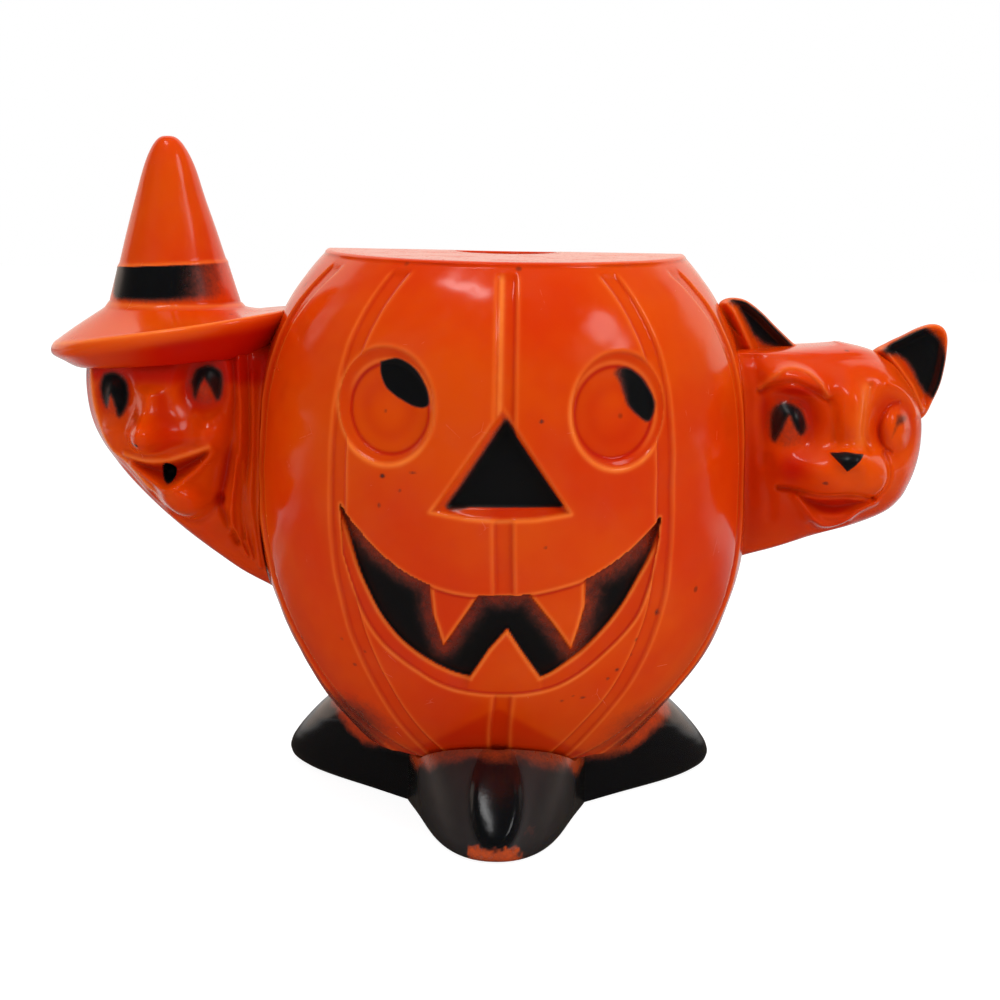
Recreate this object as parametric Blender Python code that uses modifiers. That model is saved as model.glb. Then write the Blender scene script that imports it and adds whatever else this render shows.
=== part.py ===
"""A moulded plastic candy container: a hollow pumpkin on a three-toed base, with a witch's head
on one side and a cat's head on the other.

The pumpkin is cemented from a front and a back shell that lap at the seam plane y = 0, and so is
each head. The witch's hat presses over her crown, the heads are pegged to the pumpkin's sides,
and the pumpkin sits in the base on a boss. Metres, Z up, the origin under the base's hub.
"""

import math

import bmesh
import bpy
import numpy as np
from mathutils import Matrix, Vector

# Fits and walls
GAP = 0.0003
HAT_FIT = 0.0005
BODY_FLOOR_OF_RECESS = 0.0009
HEAD_WALL = 0.0016
HAT_WALL = 0.0014
BASE_WALL = 0.0020

# Pumpkin body: a turned form, widest at the belly
BODY_RADIUS = 0.0350
BELLY_HEIGHT = 0.0450
RIM_RADIUS = 0.0249
RIM_HEIGHT = 0.0779
SHOULDER_POWER = 3.2
FLOOR_RADIUS = 0.0200
FLOOR_HEIGHT = 0.0090
TAPER_POWER = 2.3
RIM_EDGE = 0.0005
DECK_DRAFT = math.radians(1.9)
DECK_DRAFT_DEPTH = 0.012
MOUTH_RADIUS = 0.0072

# Seam: the front shell's lip reaches into a rebate in the back shell
BODY_LAP_SKIN = 0.0010
HEAD_LAP_SKIN = 0.0006
LIP_LENGTH = 0.0012
LIP_ROOT = 0.0008
LIP_PROUD = 0.0002

# Channels down the pumpkin: the azimuth each one runs along and its offset from the axis there
CHANNEL_WIDTH = 0.0023
CHANNEL_DEPTH = 0.00045
CHANNEL_STOP = 0.0018
MIDDLE_CHANNEL = (0.0, 0.0)
INNER_CHANNEL = (math.radians(57.5), 0.0120)
OUTER_CHANNEL = (math.radians(101.3), 0.0177)

# Carved face: an outer lip, and inside it the deeper floor that is painted
LIP_DEPTH = 0.0008
RECESS_DEPTH = 0.0017
EYE_X = 0.0149
EYE_Z = 0.0589
EYE_HALF_WIDTH = 0.0064
EYE_HALF_HEIGHT = 0.0075
EYE_LIP = 0.0014
EYE_FLOOR_SHIFT = 0.0006
NOSE_TOP = 0.0592
NOSE_BOTTOM = 0.0459
NOSE_HALF_WIDTH = 0.0090
NOSE_BOW = 0.0010
NOSE_LIP = 0.0011
SMILE_HALF_WIDTH = 0.0213
SMILE_CORNER_Z = 0.0460
SMILE_TOP_Z = 0.0352
SMILE_BOTTOM_Z = 0.0208
SMILE_FULLNESS = 2.3
SMILE_LIP = 0.0026
FANG_X = 0.0066
FANG_HALF_WIDTH = 0.0033
FANG_TIP_X = 0.0083
FANG_TIP_Z = 0.0275
TOOTH_HALF_WIDTH = 0.0048
TOOTH_TIP_Z = 0.0306

# Witch's hat: a tall round-tipped cone on a drooping brim that is low on the outer side
HAT_OUT = 0.0117
HAT_BASE_RADIUS = 0.0092
HAT_BASE_HEIGHT = 0.0697
HAT_TOP_HEIGHT = 0.0930
HAT_TIP_RADIUS = 0.0031
HAT_LEAN = math.radians(2.2)
BRIM_RADIUS = 0.0174
BRIM_DROOP = 0.0030
BRIM_CURVE = 0.85
BRIM_TILT = math.radians(8.5)
BRIM_EDGE = 0.0009
BRIM_THICKNESS = 0.0046
CROWN_TOP_DROP = 0.0050

# Heads. The witch's sections are placed by how far they lie under the hat's base and how far out of
# the pumpkin's side their outer side is, then by how far the front and the back reach. The cat's
# are the same, with their height above the table.
HEAD_ROOT = 0.0050
HEAD_SQUARENESS = 2.2
FACE_SETBACK = 0.22
LEAST_OUTER_SHARE = 0.40
WITCH_MIDDLE_OUT = 0.0122
WITCH_SECTIONS = (
    (0.0401, -0.0020, 0.0015, 0.0015),
    (0.0379, 0.0018, 0.0042, 0.0040),
    (0.0352, 0.0058, 0.0062, 0.0062),
    (0.0322, 0.0098, 0.0076, 0.0082),
    (0.0297, 0.0129, 0.0090, 0.0096),
    (0.0267, 0.0158, 0.0116, 0.0108),
    (0.0227, 0.0194, 0.0128, 0.0120),
    (0.0177, 0.0229, 0.0130, 0.0128),
    (0.0122, 0.0244, 0.0126, 0.0130),
    (0.0077, 0.0242, 0.0120, 0.0124),
)
CAT_MIDDLE_OUT = 0.0118
CAT_SECTIONS = (
    (0.0352, 0.0000, 0.0022, 0.0020),
    (0.0368, 0.0050, 0.0046, 0.0048),
    (0.0386, 0.0100, 0.0060, 0.0074),
    (0.0405, 0.0159, 0.0082, 0.0090),
    (0.0424, 0.0198, 0.0104, 0.0102),
    (0.0465, 0.0227, 0.0132, 0.0118),
    (0.0520, 0.0243, 0.0134, 0.0126),
    (0.0570, 0.0239, 0.0128, 0.0124),
    (0.0610, 0.0218, 0.0112, 0.0110),
    (0.0638, 0.0190, 0.0086, 0.0086),
    (0.0653, 0.0157, 0.0056, 0.0056),
    (0.0659, 0.0128, 0.0022, 0.0022),
)
CAT_TOP_SLOPE = 0.0030

# Face forms: how far out of the pumpkin's side, how far under the hat's base on the witch or the
# height on the cat, half width, half height, and how far each stands out or goes in
WITCH_FORMS = {
    "nose": (0.0137, 0.0170, 0.0023, 0.0023, 0.0040),
    "bridge": (0.0127, 0.0129, 0.0018, 0.0032, 0.0022),
    "nostril": (0.0100, 0.0167, 0.0026, 0.0026, 0.0016),
    "outer_eye": (0.0184, 0.0119, 0.0024, 0.0031, -0.0018),
    "inner_eye": (0.0060, 0.0106, 0.0028, 0.0032, -0.0018),
    "outer_cheek": (0.0187, 0.0181, 0.0022, 0.0024, 0.0009),
    "inner_cheek": (0.0045, 0.0168, 0.0027, 0.0025, 0.0016),
    "mouth": (0.0104, 0.0221, 0.0038, 0.0018, -0.0016),
    "chin": (0.0089, 0.0262, 0.0032, 0.0023, 0.0018),
}
CAT_FORMS = {
    "muzzle": (0.0122, 0.0489, 0.0056, 0.0036, 0.0026),
    "nose": (0.0122, 0.0513, 0.0021, 0.0013, 0.0014),
    "bridge": (0.0122, 0.0566, 0.0020, 0.0042, 0.0013),
    "inner_eye": (0.0042, 0.0562, 0.0036, 0.0036, -0.0016),
    "outer_eye": (0.0189, 0.0557, 0.0032, 0.0038, -0.0015),
    "brow": (0.0056, 0.0619, 0.0036, 0.0020, 0.0014),
    "mouth": (0.0105, 0.0452, 0.0046, 0.0010, -0.0016),
    "lower_lip": (0.0102, 0.0423, 0.0038, 0.0015, 0.0015),
}

# Cat's ears: the middle of the root and the tip, each out of the pumpkin's side and in height, half
# width, half thickness, and how pointed
EARS = {
    "inner": ((0.0032, 0.0640), (-0.0035, 0.0723), 0.0041, 0.0021, 2.0),
    "outer": ((0.0213, 0.0611), (0.0280, 0.0690), 0.0064, 0.0022, 1.4),
}

# Pegs that hold the heads
PEG_RADIUS = 0.0009
PEG_HEIGHT = 0.0490
PEG_REACH = 0.0012
PEG_ROOT = 0.0035

# Base: a stem and three toes. At each height: the front toe's reach, the side toes', how wide they are
STEM_RADIUS = 0.0146
TOE_COUNT = 3
TOE_FALL = 2.2
TOE_STATIONS = (
    (0.0000, 0.0339, 0.0339, 0.385),
    (0.0004, 0.0345, 0.0347, 0.390),
    (0.0013, 0.0348, 0.0354, 0.400),
    (0.0028, 0.0338, 0.0352, 0.430),
    (0.0048, 0.0318, 0.0344, 0.480),
    (0.0072, 0.0291, 0.0329, 0.560),
    (0.0096, 0.0262, 0.0306, 0.660),
    (0.0120, 0.0233, 0.0270, 0.700),
    (0.0144, 0.0204, 0.0234, 0.700),
)
HUB_RADIUS = 0.0045
BOSS_RADIUS = 0.0030
BOSS_RISE = 0.0006

# How finely the round forms are divided
BODY_SIDES = 60
INNER_SIDES = 36
BODY_STATIONS = 12
HAT_SIDES = 28
HEAD_FRONT_SIDES = 20
HEAD_BACK_SIDES = 10
HEAD_LEVELS = 22
INNER_LEVELS = 12
TOE_SIDES = 48
CURVE_STEPS = 10

BODY_WALL = RECESS_DEPTH + BODY_FLOOR_OF_RECESS
ROOM = 0.2

ORANGE = (0.82, 0.09, 0.004)
BLACK = (0.014, 0.015, 0.016)


def clear_scene():
    for item in list(bpy.data.objects):
        bpy.data.objects.remove(item, do_unlink=True)


def new_collection(name, hidden):
    collection = bpy.data.collections.new(name)
    bpy.context.scene.collection.children.link(collection)
    collection.hide_render = hidden
    return collection


def plastic(name, colour, roughness):
    material = bpy.data.materials.new(name)
    material.use_nodes = True
    shader = material.node_tree.nodes["Principled BSDF"]
    shader.inputs["Base Color"].default_value = (*colour, 1.0)
    shader.inputs["Roughness"].default_value = roughness
    shader.inputs["Metallic"].default_value = 0.0
    return material


def helper(name, mesh):
    """A working object among the cutters, hidden from the render."""
    made = bpy.data.objects.new(name, mesh)
    CUTTERS.objects.link(made)
    made.hide_render = True
    made.display_type = "WIRE"
    return made


def object_from(name, build):
    """A working object whose mesh `build` makes in a bmesh, with its faces pointing out."""
    shape = bmesh.new()
    build(shape)
    bmesh.ops.recalc_face_normals(shape, faces=shape.faces)
    mesh = bpy.data.meshes.new(name)
    shape.to_mesh(mesh)
    shape.free()
    return helper(name, mesh)


def frozen(source, name):
    """A plain mesh object holding `source` with its modifiers applied; `source` is removed."""
    bpy.context.view_layer.update()
    graph = bpy.context.evaluated_depsgraph_get()
    mesh = bpy.data.meshes.new_from_object(source.evaluated_get(graph))
    bpy.data.objects.remove(source, do_unlink=True)
    return helper(name, mesh)


def combined(first, second, operation):
    """`first` with `second` cut, joined or kept in common; `second` stays as it was.

    The manifold solver keeps these close skins closed. The exact one leaves open edges where a
    carving or a hole meets a channel or a seam, and empties the heads.
    """
    modifier = first.modifiers.new(operation.lower(), "BOOLEAN")
    modifier.operation = operation
    modifier.solver = "MANIFOLD"
    modifier.object = second
    return frozen(first, first.name)


def copy_of(source, name):
    return helper(name, source.data.copy())


def slab(name, y_from, y_to):
    """A wide box between two planes of constant y."""

    def build(shape):
        size = Matrix.Diagonal((ROOM, y_to - y_from, ROOM, 1.0))
        place = Matrix.Translation((0.0, (y_from + y_to) / 2, 0.0))
        bmesh.ops.create_cube(shape, size=1.0, matrix=place @ size)

    return object_from(name, build)


def cylinder(name, radius, start, end, sides=24):
    """A closed cylinder between two points."""
    start = Vector(start)
    along = Vector(end) - start

    def build(shape):
        turn = along.to_track_quat("Z", "Y").to_matrix().to_4x4()
        place = Matrix.Translation(start + along / 2) @ turn
        bmesh.ops.create_cone(
            shape,
            cap_ends=True,
            segments=sides,
            radius1=radius,
            radius2=radius,
            depth=along.length,
            matrix=place,
        )

    return object_from(name, build)


def turned(name, profile, sides):
    """A solid of revolution about Z from a profile of (radius, height), top to bottom."""
    points = [(radius, 0.0, height) for radius, height in profile]
    edges = [(i, i + 1) for i in range(len(points) - 1)]
    mesh = bpy.data.meshes.new(name)
    mesh.from_pydata(points, edges, [])
    made = helper(name, mesh)
    screw = made.modifiers.new("turn", "SCREW")
    screw.axis = "Z"
    screw.steps = sides
    screw.render_steps = sides
    screw.use_merge_vertices = True
    screw.merge_threshold = 0.00001
    return frozen(made, name)


def moved(source, rule):
    """Every vertex of `source` carried by `rule`, which takes and gives an array of points."""
    points = np.empty(len(source.data.vertices) * 3)
    source.data.vertices.foreach_get("co", points)
    points = rule(points.reshape(-1, 3))
    source.data.vertices.foreach_set("co", points.ravel())
    source.data.update()
    return source


def smooth_curve(heights, values, at):
    """A smooth curve through stations: a cubic between each two, with the mean slope at each."""
    slopes = np.gradient(values, heights)
    i = np.clip(np.searchsorted(heights, at) - 1, 0, len(heights) - 2)
    width = heights[i + 1] - heights[i]
    t = np.clip((at - heights[i]) / width, 0.0, 1.0)
    start = values[i] * (1 + 2 * t) * (1 - t) ** 2 + width * slopes[i] * t * (1 - t) ** 2
    end = values[i + 1] * (3 - 2 * t) * t**2 - width * slopes[i + 1] * (1 - t) * t**2
    return start + end


def body_radius(height, inset=0.0):
    """The pumpkin's radius at a height, on a surface `inset` inside its outer one."""
    spare = 0.006
    heights = np.linspace(FLOOR_HEIGHT - spare, RIM_HEIGHT + spare, 241)
    rise = np.clip(heights - BELLY_HEIGHT, 0.0, None) / (RIM_HEIGHT - BELLY_HEIGHT)
    drop = np.clip(BELLY_HEIGHT - heights, 0.0, None) / (BELLY_HEIGHT - FLOOR_HEIGHT)
    radii = (
        BODY_RADIUS
        - (BODY_RADIUS - RIM_RADIUS) * rise**SHOULDER_POWER
        - (BODY_RADIUS - FLOOR_RADIUS) * drop**TAPER_POWER
    )
    slope = np.gradient(radii, heights)
    length = np.sqrt(1 + slope**2)
    return np.interp(height, heights + inset * slope / length, radii - inset / length)


def pumpkin(name, inset, sides=BODY_SIDES):
    """The pumpkin as a solid, its surface `inset` inside the outer one, with the drafted deck."""
    top = RIM_HEIGHT - inset
    bottom = FLOOR_HEIGHT + inset
    turns = np.linspace(0.0, math.pi, BODY_STATIONS)
    heights = (top - RIM_EDGE + bottom) / 2 + (top - RIM_EDGE - bottom) / 2 * np.cos(turns)
    side = [(float(body_radius(height, inset)), height) for height in heights]
    deck_edge = (float(body_radius(top, inset)) - RIM_EDGE, top)
    solid = turned(name, [(0.0, top), deck_edge, *side, (0.0, bottom)], sides)

    def draft(points):
        share = np.clip((points[:, 2] - top) / DECK_DRAFT_DEPTH + 1.0, 0.0, 1.0)
        points[:, 2] -= np.abs(points[:, 1]) * math.tan(DECK_DRAFT) * share
        return points

    return moved(solid, draft)


def outline_cutter(name, outline, depth):
    """What an outline in the XZ plane takes from the front of the pumpkin, down to a depth."""
    curve = bpy.data.curves.new(name, "CURVE")
    curve.dimensions = "2D"
    curve.fill_mode = "BOTH"
    curve.extrude = BODY_RADIUS / 2
    spline = curve.splines.new("POLY")
    spline.points.add(len(outline) - 1)
    for point, (x, z) in zip(spline.points, outline):
        point.co = (x, z, 0.0, 1.0)
    spline.use_cyclic_u = True
    drawn = bpy.data.objects.new(name, curve)
    CUTTERS.objects.link(drawn)
    prism = frozen(drawn, name)
    stand = Matrix.Translation((0.0, -BODY_RADIUS, 0.0)) @ Matrix.Rotation(math.pi / 2, 4, "X")
    prism.data.transform(stand)
    shape = bmesh.new()
    shape.from_mesh(prism.data)
    bmesh.ops.remove_doubles(shape, verts=shape.verts, dist=GAP / 100)
    bmesh.ops.recalc_face_normals(shape, faces=shape.faces)
    shape.to_mesh(prism.data)
    shape.free()
    core = pumpkin("recess core", depth)
    prism = combined(prism, core, "DIFFERENCE")
    bpy.data.objects.remove(core, do_unlink=True)
    return prism


def eye_outline(side, inset):
    middle = side * (EYE_X - EYE_FLOOR_SHIFT * inset / EYE_LIP)
    turns = [math.tau * i / (3 * CURVE_STEPS) for i in range(3 * CURVE_STEPS)]
    return [
        (
            middle + (EYE_HALF_WIDTH - inset) * math.cos(turn),
            EYE_Z + (EYE_HALF_HEIGHT - inset) * math.sin(turn),
        )
        for turn in turns
    ]


def nose_outline(inset):
    """A triangle with a bowed lower edge, drawn in by `inset` on each side."""
    rise = NOSE_TOP - NOSE_BOTTOM
    slant = math.hypot(rise, NOSE_HALF_WIDTH)
    top = NOSE_TOP - inset * slant / NOSE_HALF_WIDTH
    bottom = NOSE_BOTTOM + inset
    half = (top - bottom) * NOSE_HALF_WIDTH / rise
    outline = [(0.0, top)]
    for i in range(CURVE_STEPS + 1):
        share = 2 * i / CURVE_STEPS - 1
        outline.append((half * share, bottom - NOSE_BOW * (1 - share**2)))
    return outline


def smile_lower(share, inset):
    """The height of the smile's lower edge, at a share of its half width."""
    depth = SMILE_CORNER_Z - SMILE_BOTTOM_Z - inset
    return SMILE_CORNER_Z - depth * (1 - abs(share) ** SMILE_FULLNESS) ** (1 / SMILE_FULLNESS)


def smile_outline(inset):
    """The smile between its two arcs, with two fangs above and one tooth below left standing."""
    half = SMILE_HALF_WIDTH - inset / 2
    sag = SMILE_CORNER_Z - SMILE_TOP_Z
    fang_outer = FANG_X + FANG_HALF_WIDTH + inset / 4
    fang_inner = FANG_X - FANG_HALF_WIDTH - inset / 4
    tip_z = FANG_TIP_Z - inset / 4

    def upper(x):
        return SMILE_CORNER_Z - sag * (1 - (x / half) ** 2) ** 0.8 - inset / 3

    turns = [math.pi * i / (3 * CURVE_STEPS) for i in range(3 * CURVE_STEPS + 1)]
    lower = []
    for turn in turns:
        share = -math.cos(turn)
        if abs(share) * half > TOOTH_HALF_WIDTH + inset / 4:
            lower.append((share * half, smile_lower(share, inset)))
    left = [point for point in lower if point[0] < 0]
    right = [point for point in lower if point[0] > 0]
    base = TOOTH_HALF_WIDTH + inset / 4
    base_z = smile_lower(base / half, inset)
    tooth = [(-base, base_z), (0.0, TOOTH_TIP_Z + inset / 4), (base, base_z)]
    top = []
    for side in (1, -1):
        reach = [half - (half - fang_outer) * i / CURVE_STEPS for i in range(1, CURVE_STEPS + 1)]
        outer = [(side * x, upper(x)) for x in reach]
        fang = [(side * FANG_TIP_X, tip_z), (side * fang_inner, upper(fang_inner))]
        top += (outer + fang) if side == 1 else (outer + fang)[::-1]
    return left + tooth + right + top


def carved(shell, outlines, depth):
    """`shell` with each outline sunk into its front to a depth."""
    for outline in outlines:
        cutter = outline_cutter("carving", outline, depth)
        shell = combined(shell, cutter, "DIFFERENCE")
    return shell


def channel_cutter():
    """Upright slabs round the pumpkin that reach only the channels' depth into it."""
    runs = [MIDDLE_CHANNEL]
    runs += [(side * turn, -side * offset) for side in (1, -1) for turn, offset in CHANNEL_PAIRS]
    top = RIM_HEIGHT - CHANNEL_STOP
    whole = None
    for mirror in (1, -1):
        for turn, offset in runs:

            def build(shape, turn=turn, offset=offset, mirror=mirror):
                size = Matrix.Diagonal((CHANNEL_WIDTH, BODY_RADIUS, top - FLOOR_HEIGHT, 1.0))
                place = Matrix.Translation((offset, -BODY_RADIUS * 0.8, (top + FLOOR_HEIGHT) / 2))
                spin = Matrix.Rotation(turn, 4, "Z")
                flip = Matrix.Diagonal((1.0, mirror, 1.0, 1.0))
                bmesh.ops.create_cube(shape, size=1.0, matrix=flip @ spin @ place @ size)

            piece = object_from("channel", build)
            if whole is None:
                whole = piece
            else:
                whole = combined(whole, piece, "UNION")
                bpy.data.objects.remove(piece, do_unlink=True)
    core = pumpkin("channel core", CHANNEL_DEPTH)
    whole = combined(whole, core, "DIFFERENCE")
    bpy.data.objects.remove(core, do_unlink=True)
    return whole


def lapped_halves(name, whole, skin_at, wall, lap_skin):
    """`whole` parted at y = 0: the front half's lip reaches into the back half's rebate."""
    front_side = slab("front side", -ROOM, -GAP / 2)
    back_side = slab("back side", GAP / 2, ROOM)
    front = combined(copy_of(whole, f"{name} front"), front_side, "INTERSECT")
    back = combined(whole, back_side, "INTERSECT")
    lip = combined(skin_at(lap_skin + GAP), skin_at(wall + LIP_PROUD), "DIFFERENCE")
    lip = combined(lip, slab("lip reach", -LIP_ROOT, LIP_LENGTH), "INTERSECT")
    rebate_side = slab("rebate reach", -ROOM, LIP_LENGTH + GAP)
    rebate = combined(skin_at(lap_skin), rebate_side, "INTERSECT")
    front = combined(front, lip, "UNION")
    back = combined(back, rebate, "DIFFERENCE")
    return front, back


def pumpkin_halves():
    def skin_at(inset):
        return pumpkin("body skin", inset, INNER_SIDES)

    shell = combined(pumpkin("body", 0.0), skin_at(BODY_WALL), "DIFFERENCE")
    front, back = lapped_halves("body", shell, skin_at, BODY_WALL, BODY_LAP_SKIN)
    channels = channel_cutter()
    front = combined(front, channels, "DIFFERENCE")
    back = combined(back, channels, "DIFFERENCE")
    lips = [eye_outline(-1, 0.0), eye_outline(1, 0.0), nose_outline(0.0), smile_outline(0.0)]
    floors = [eye_outline(-1, EYE_LIP), eye_outline(1, EYE_LIP), nose_outline(NOSE_LIP), smile_outline(SMILE_LIP)]
    front = carved(front, lips, LIP_DEPTH)
    front = carved(front, floors, RECESS_DEPTH)
    top = RIM_HEIGHT + ROOM / 10
    mouth = cylinder("mouth", MOUTH_RADIUS, (0, 0, BELLY_HEIGHT), (0, 0, top), INNER_SIDES)
    floor = cylinder("boss hole", BOSS_RADIUS + GAP, (0, 0, 0), (0, 0, BELLY_HEIGHT))
    front = combined(combined(front, mouth, "DIFFERENCE"), floor, "DIFFERENCE")
    back = combined(combined(back, mouth, "DIFFERENCE"), floor, "DIFFERENCE")
    return front, back


def hat_radius(height):
    """The cone's radius at a height, on its straight side."""
    narrowing = (HAT_BASE_RADIUS - HAT_TIP_RADIUS) / (HAT_TOP_HEIGHT - HAT_TIP_RADIUS - HAT_BASE_HEIGHT)
    return HAT_BASE_RADIUS - (height - HAT_BASE_HEIGHT) * narrowing


def hat_middle(height):
    """Where the leaning cone's middle is at a height."""
    return -(BODY_RADIUS + HAT_OUT) - math.tan(HAT_LEAN) * max(height - HAT_BASE_HEIGHT, 0.0)


def witch_stations():
    """The witch's sections, carried on up into the hat as her crown."""
    stations = [
        (HAT_BASE_HEIGHT - drop, -(BODY_RADIUS + out), front, back)
        for drop, out, front, back in WITCH_SECTIONS
    ]
    for height in (HAT_BASE_HEIGHT, HAT_TOP_HEIGHT - CROWN_TOP_DROP):
        radius = hat_radius(height) - HAT_WALL - GAP
        stations.append((height, hat_middle(height) - radius, radius, radius))
    return np.array(stations)


def cat_stations():
    return np.array([(height, BODY_RADIUS + out, front, back) for height, out, front, back in CAT_SECTIONS])


def bumps(side, x, z):
    """How far the face's forms stand out at each place: a sum of soft round mounds and hollows."""
    total = np.zeros_like(x)
    forms = WITCH_FORMS if side < 0 else CAT_FORMS
    for out, level, half_width, half_height, rise in forms.values():
        middle_z = HAT_BASE_HEIGHT - level if side < 0 else level
        away = ((x - side * (BODY_RADIUS + out)) / half_width) ** 2 + ((z - middle_z) / half_height) ** 2
        total += rise * np.exp(-away)
    return total


def head(name, stations, side, middle_out, inset, setback):
    """A head as a stack of rounded sections, `inset` inside its surface.

    Each section runs from the outer side round the front to the root inside the pumpkin and back
    behind. A form that is inset has a plain face, and `setback` draws in its front by that share.
    """
    plain = inset > 0
    levels = INNER_LEVELS if plain else HEAD_LEVELS
    front_sides = HEAD_BACK_SIDES if plain else HEAD_FRONT_SIDES
    low = stations[0, 0] + inset
    high = stations[-1, 0] - inset
    heights = (low + high) / 2 - (high - low) / 2 * np.cos(np.linspace(0, math.pi, levels))
    outer = smooth_curve(stations[:, 0], stations[:, 1], heights) - side * inset
    front = (smooth_curve(stations[:, 0], stations[:, 2], heights) - inset) * (1 - setback)
    back = smooth_curve(stations[:, 0], stations[:, 3], heights) - inset
    front = np.maximum(front, GAP)
    back = np.maximum(back, GAP)
    root = np.array([head_root(side, height, stations, inset) for height in heights])
    width = np.minimum(side * (root - outer), -GAP)
    share = side * (side * (BODY_RADIUS + middle_out) - outer) / width
    share = np.clip(share, LEAST_OUTER_SHARE, 1 - LEAST_OUTER_SHARE)
    centre = outer + side * share * width
    turns = np.concatenate(
        [
            -np.linspace(0, math.pi, front_sides, endpoint=False),
            -math.pi - np.linspace(0, math.pi, HEAD_BACK_SIDES, endpoint=False),
        ]
    )
    power = 2 / HEAD_SQUARENESS
    across = np.sign(np.cos(turns)) * np.abs(np.cos(turns)) ** power
    deep = np.sign(np.sin(turns)) * np.abs(np.sin(turns)) ** power
    reach_outer = np.abs(outer - centre)[:, None]
    reach_root = np.abs(root - centre)[:, None]
    x = centre[:, None] + side * np.where(across > 0, reach_outer, reach_root) * across
    y = np.where(deep < 0, front[:, None], back[:, None]) * deep
    z = np.repeat(heights[:, None], len(turns), axis=1)
    if not plain:
        facing = np.clip(-deep, 0.0, 1.0) ** 1.5
        y = y - bumps(side, x, z) * facing

    def build(shape):
        rings = [
            [shape.verts.new(point) for point in zip(ring_x, ring_y, ring_z)]
            for ring_x, ring_y, ring_z in zip(x.tolist(), y.tolist(), z.tolist())
        ]
        for below, above in zip(rings, rings[1:]):
            for i in range(len(turns)):
                j = (i + 1) % len(turns)
                shape.faces.new((below[i], below[j], above[j], above[i]))
        shape.faces.new(rings[0])
        shape.faces.new(rings[-1])

    return object_from(name, build)


def head_root(side, height, stations, inset):
    """How far a head runs into the pumpkin, or the near side of its crown above.

    A form that is inset, or let out for clearance, runs deeper into the pumpkin: the head's hollow
    is open there, and the hat is cleared all the way.
    """
    deep = side * (BODY_RADIUS - HEAD_ROOT - 2 * abs(inset))
    if side < 0:
        crown = hat_middle(height) + hat_radius(height) - HAT_WALL - GAP
        start = HAT_BASE_HEIGHT - WITCH_SECTIONS[-1][0]
        end = HAT_BASE_HEIGHT
    else:
        crown = BODY_RADIUS + CAT_MIDDLE_OUT
        end = stations[-1, 0]
        start = end - CAT_TOP_SLOPE
    share = np.clip((height + inset - start) / (end - start), 0.0, 1.0)
    share = share * share * (3 - 2 * share)
    return deep * (1 - share) + (crown + side * inset) * share


def witch(name, inset, setback=0.0):
    return head(name, witch_stations(), -1, WITCH_MIDDLE_OUT, inset, setback)


def cat(name, inset, setback=0.0):
    return head(name, cat_stations(), 1, CAT_MIDDLE_OUT, inset, setback)


def ear(name, root, tip, half_width, half_thickness, pointed):
    """A leaf-shaped ear from its root to its tip, from a sphere drawn out and tapered."""
    root = Vector((BODY_RADIUS + root[0], 0.0, root[1]))
    along = Vector((BODY_RADIUS + tip[0], 0.0, tip[1])) - root
    across = Vector((along.z, 0.0, -along.x)).normalized()

    def build(shape):
        bmesh.ops.create_uvsphere(shape, u_segments=16, v_segments=10, radius=1.0)
        for vertex in shape.verts:
            a, b, c = vertex.co
            share = min(max(c, 0.0), 1.0)
            slim = (1 - share**pointed) / max(math.sqrt(1 - min(share**2, 0.9999)), 0.01)
            slim = min(slim, 1.0) if c > 0 else 1.0
            reach = c if c > 0 else c * half_width / along.length
            place = root + along * reach + across * (a * half_width * slim)
            vertex.co = place + Vector((0.0, b * half_thickness * slim, 0.0))

    return object_from(name, build)


def peg(side, face, radius, sides=16):
    """A peg from inside a head's wall through the pumpkin's side."""
    reach = float(body_radius(PEG_HEIGHT, BODY_WALL))
    outer = float(body_radius(PEG_HEIGHT))
    stations = witch_stations() if side < 0 else cat_stations()
    column = 2 if face < 0 else 3
    depth = float(smooth_curve(stations[:, 0], stations[:, column], PEG_HEIGHT))
    middle = BODY_RADIUS + (WITCH_MIDDLE_OUT if side < 0 else CAT_MIDDLE_OUT)
    share = (middle - outer) / (middle - BODY_RADIUS + HEAD_ROOT)
    y = depth * (1 - share**HEAD_SQUARENESS) ** (1 / HEAD_SQUARENESS) - PEG_RADIUS / 2
    near = math.sqrt(reach**2 - y**2) - PEG_REACH
    far = math.sqrt(outer**2 - y**2) + PEG_ROOT
    start = (side * near, face * y, PEG_HEIGHT)
    end = (side * far, face * y, PEG_HEIGHT)
    return cylinder("peg", radius, start, end, sides)


def pegged(body_half, head_half, side, face):
    """A head's shell with its peg, and the pumpkin's shell with the hole that takes it."""
    body_half = combined(body_half, peg(side, face, PEG_RADIUS + GAP), "DIFFERENCE")
    return body_half, combined(head_half, peg(side, face, PEG_RADIUS), "UNION")


def head_halves(name, shape_at, ears, clear):
    """The two shells of a head, cut to the pumpkin's side."""
    shell = shape_at(name, 0.0)
    for leaf in ears:
        shell = combined(shell, leaf, "UNION")
    shell = combined(shell, shape_at(f"{name} hollow", HEAD_WALL, FACE_SETBACK), "DIFFERENCE")

    def skin_at(inset):
        return shape_at(f"{name} skin", inset)

    halves = lapped_halves(name, shell, skin_at, HEAD_WALL, HEAD_LAP_SKIN)
    return [combined(half, clear, "DIFFERENCE") for half in halves]


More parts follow.
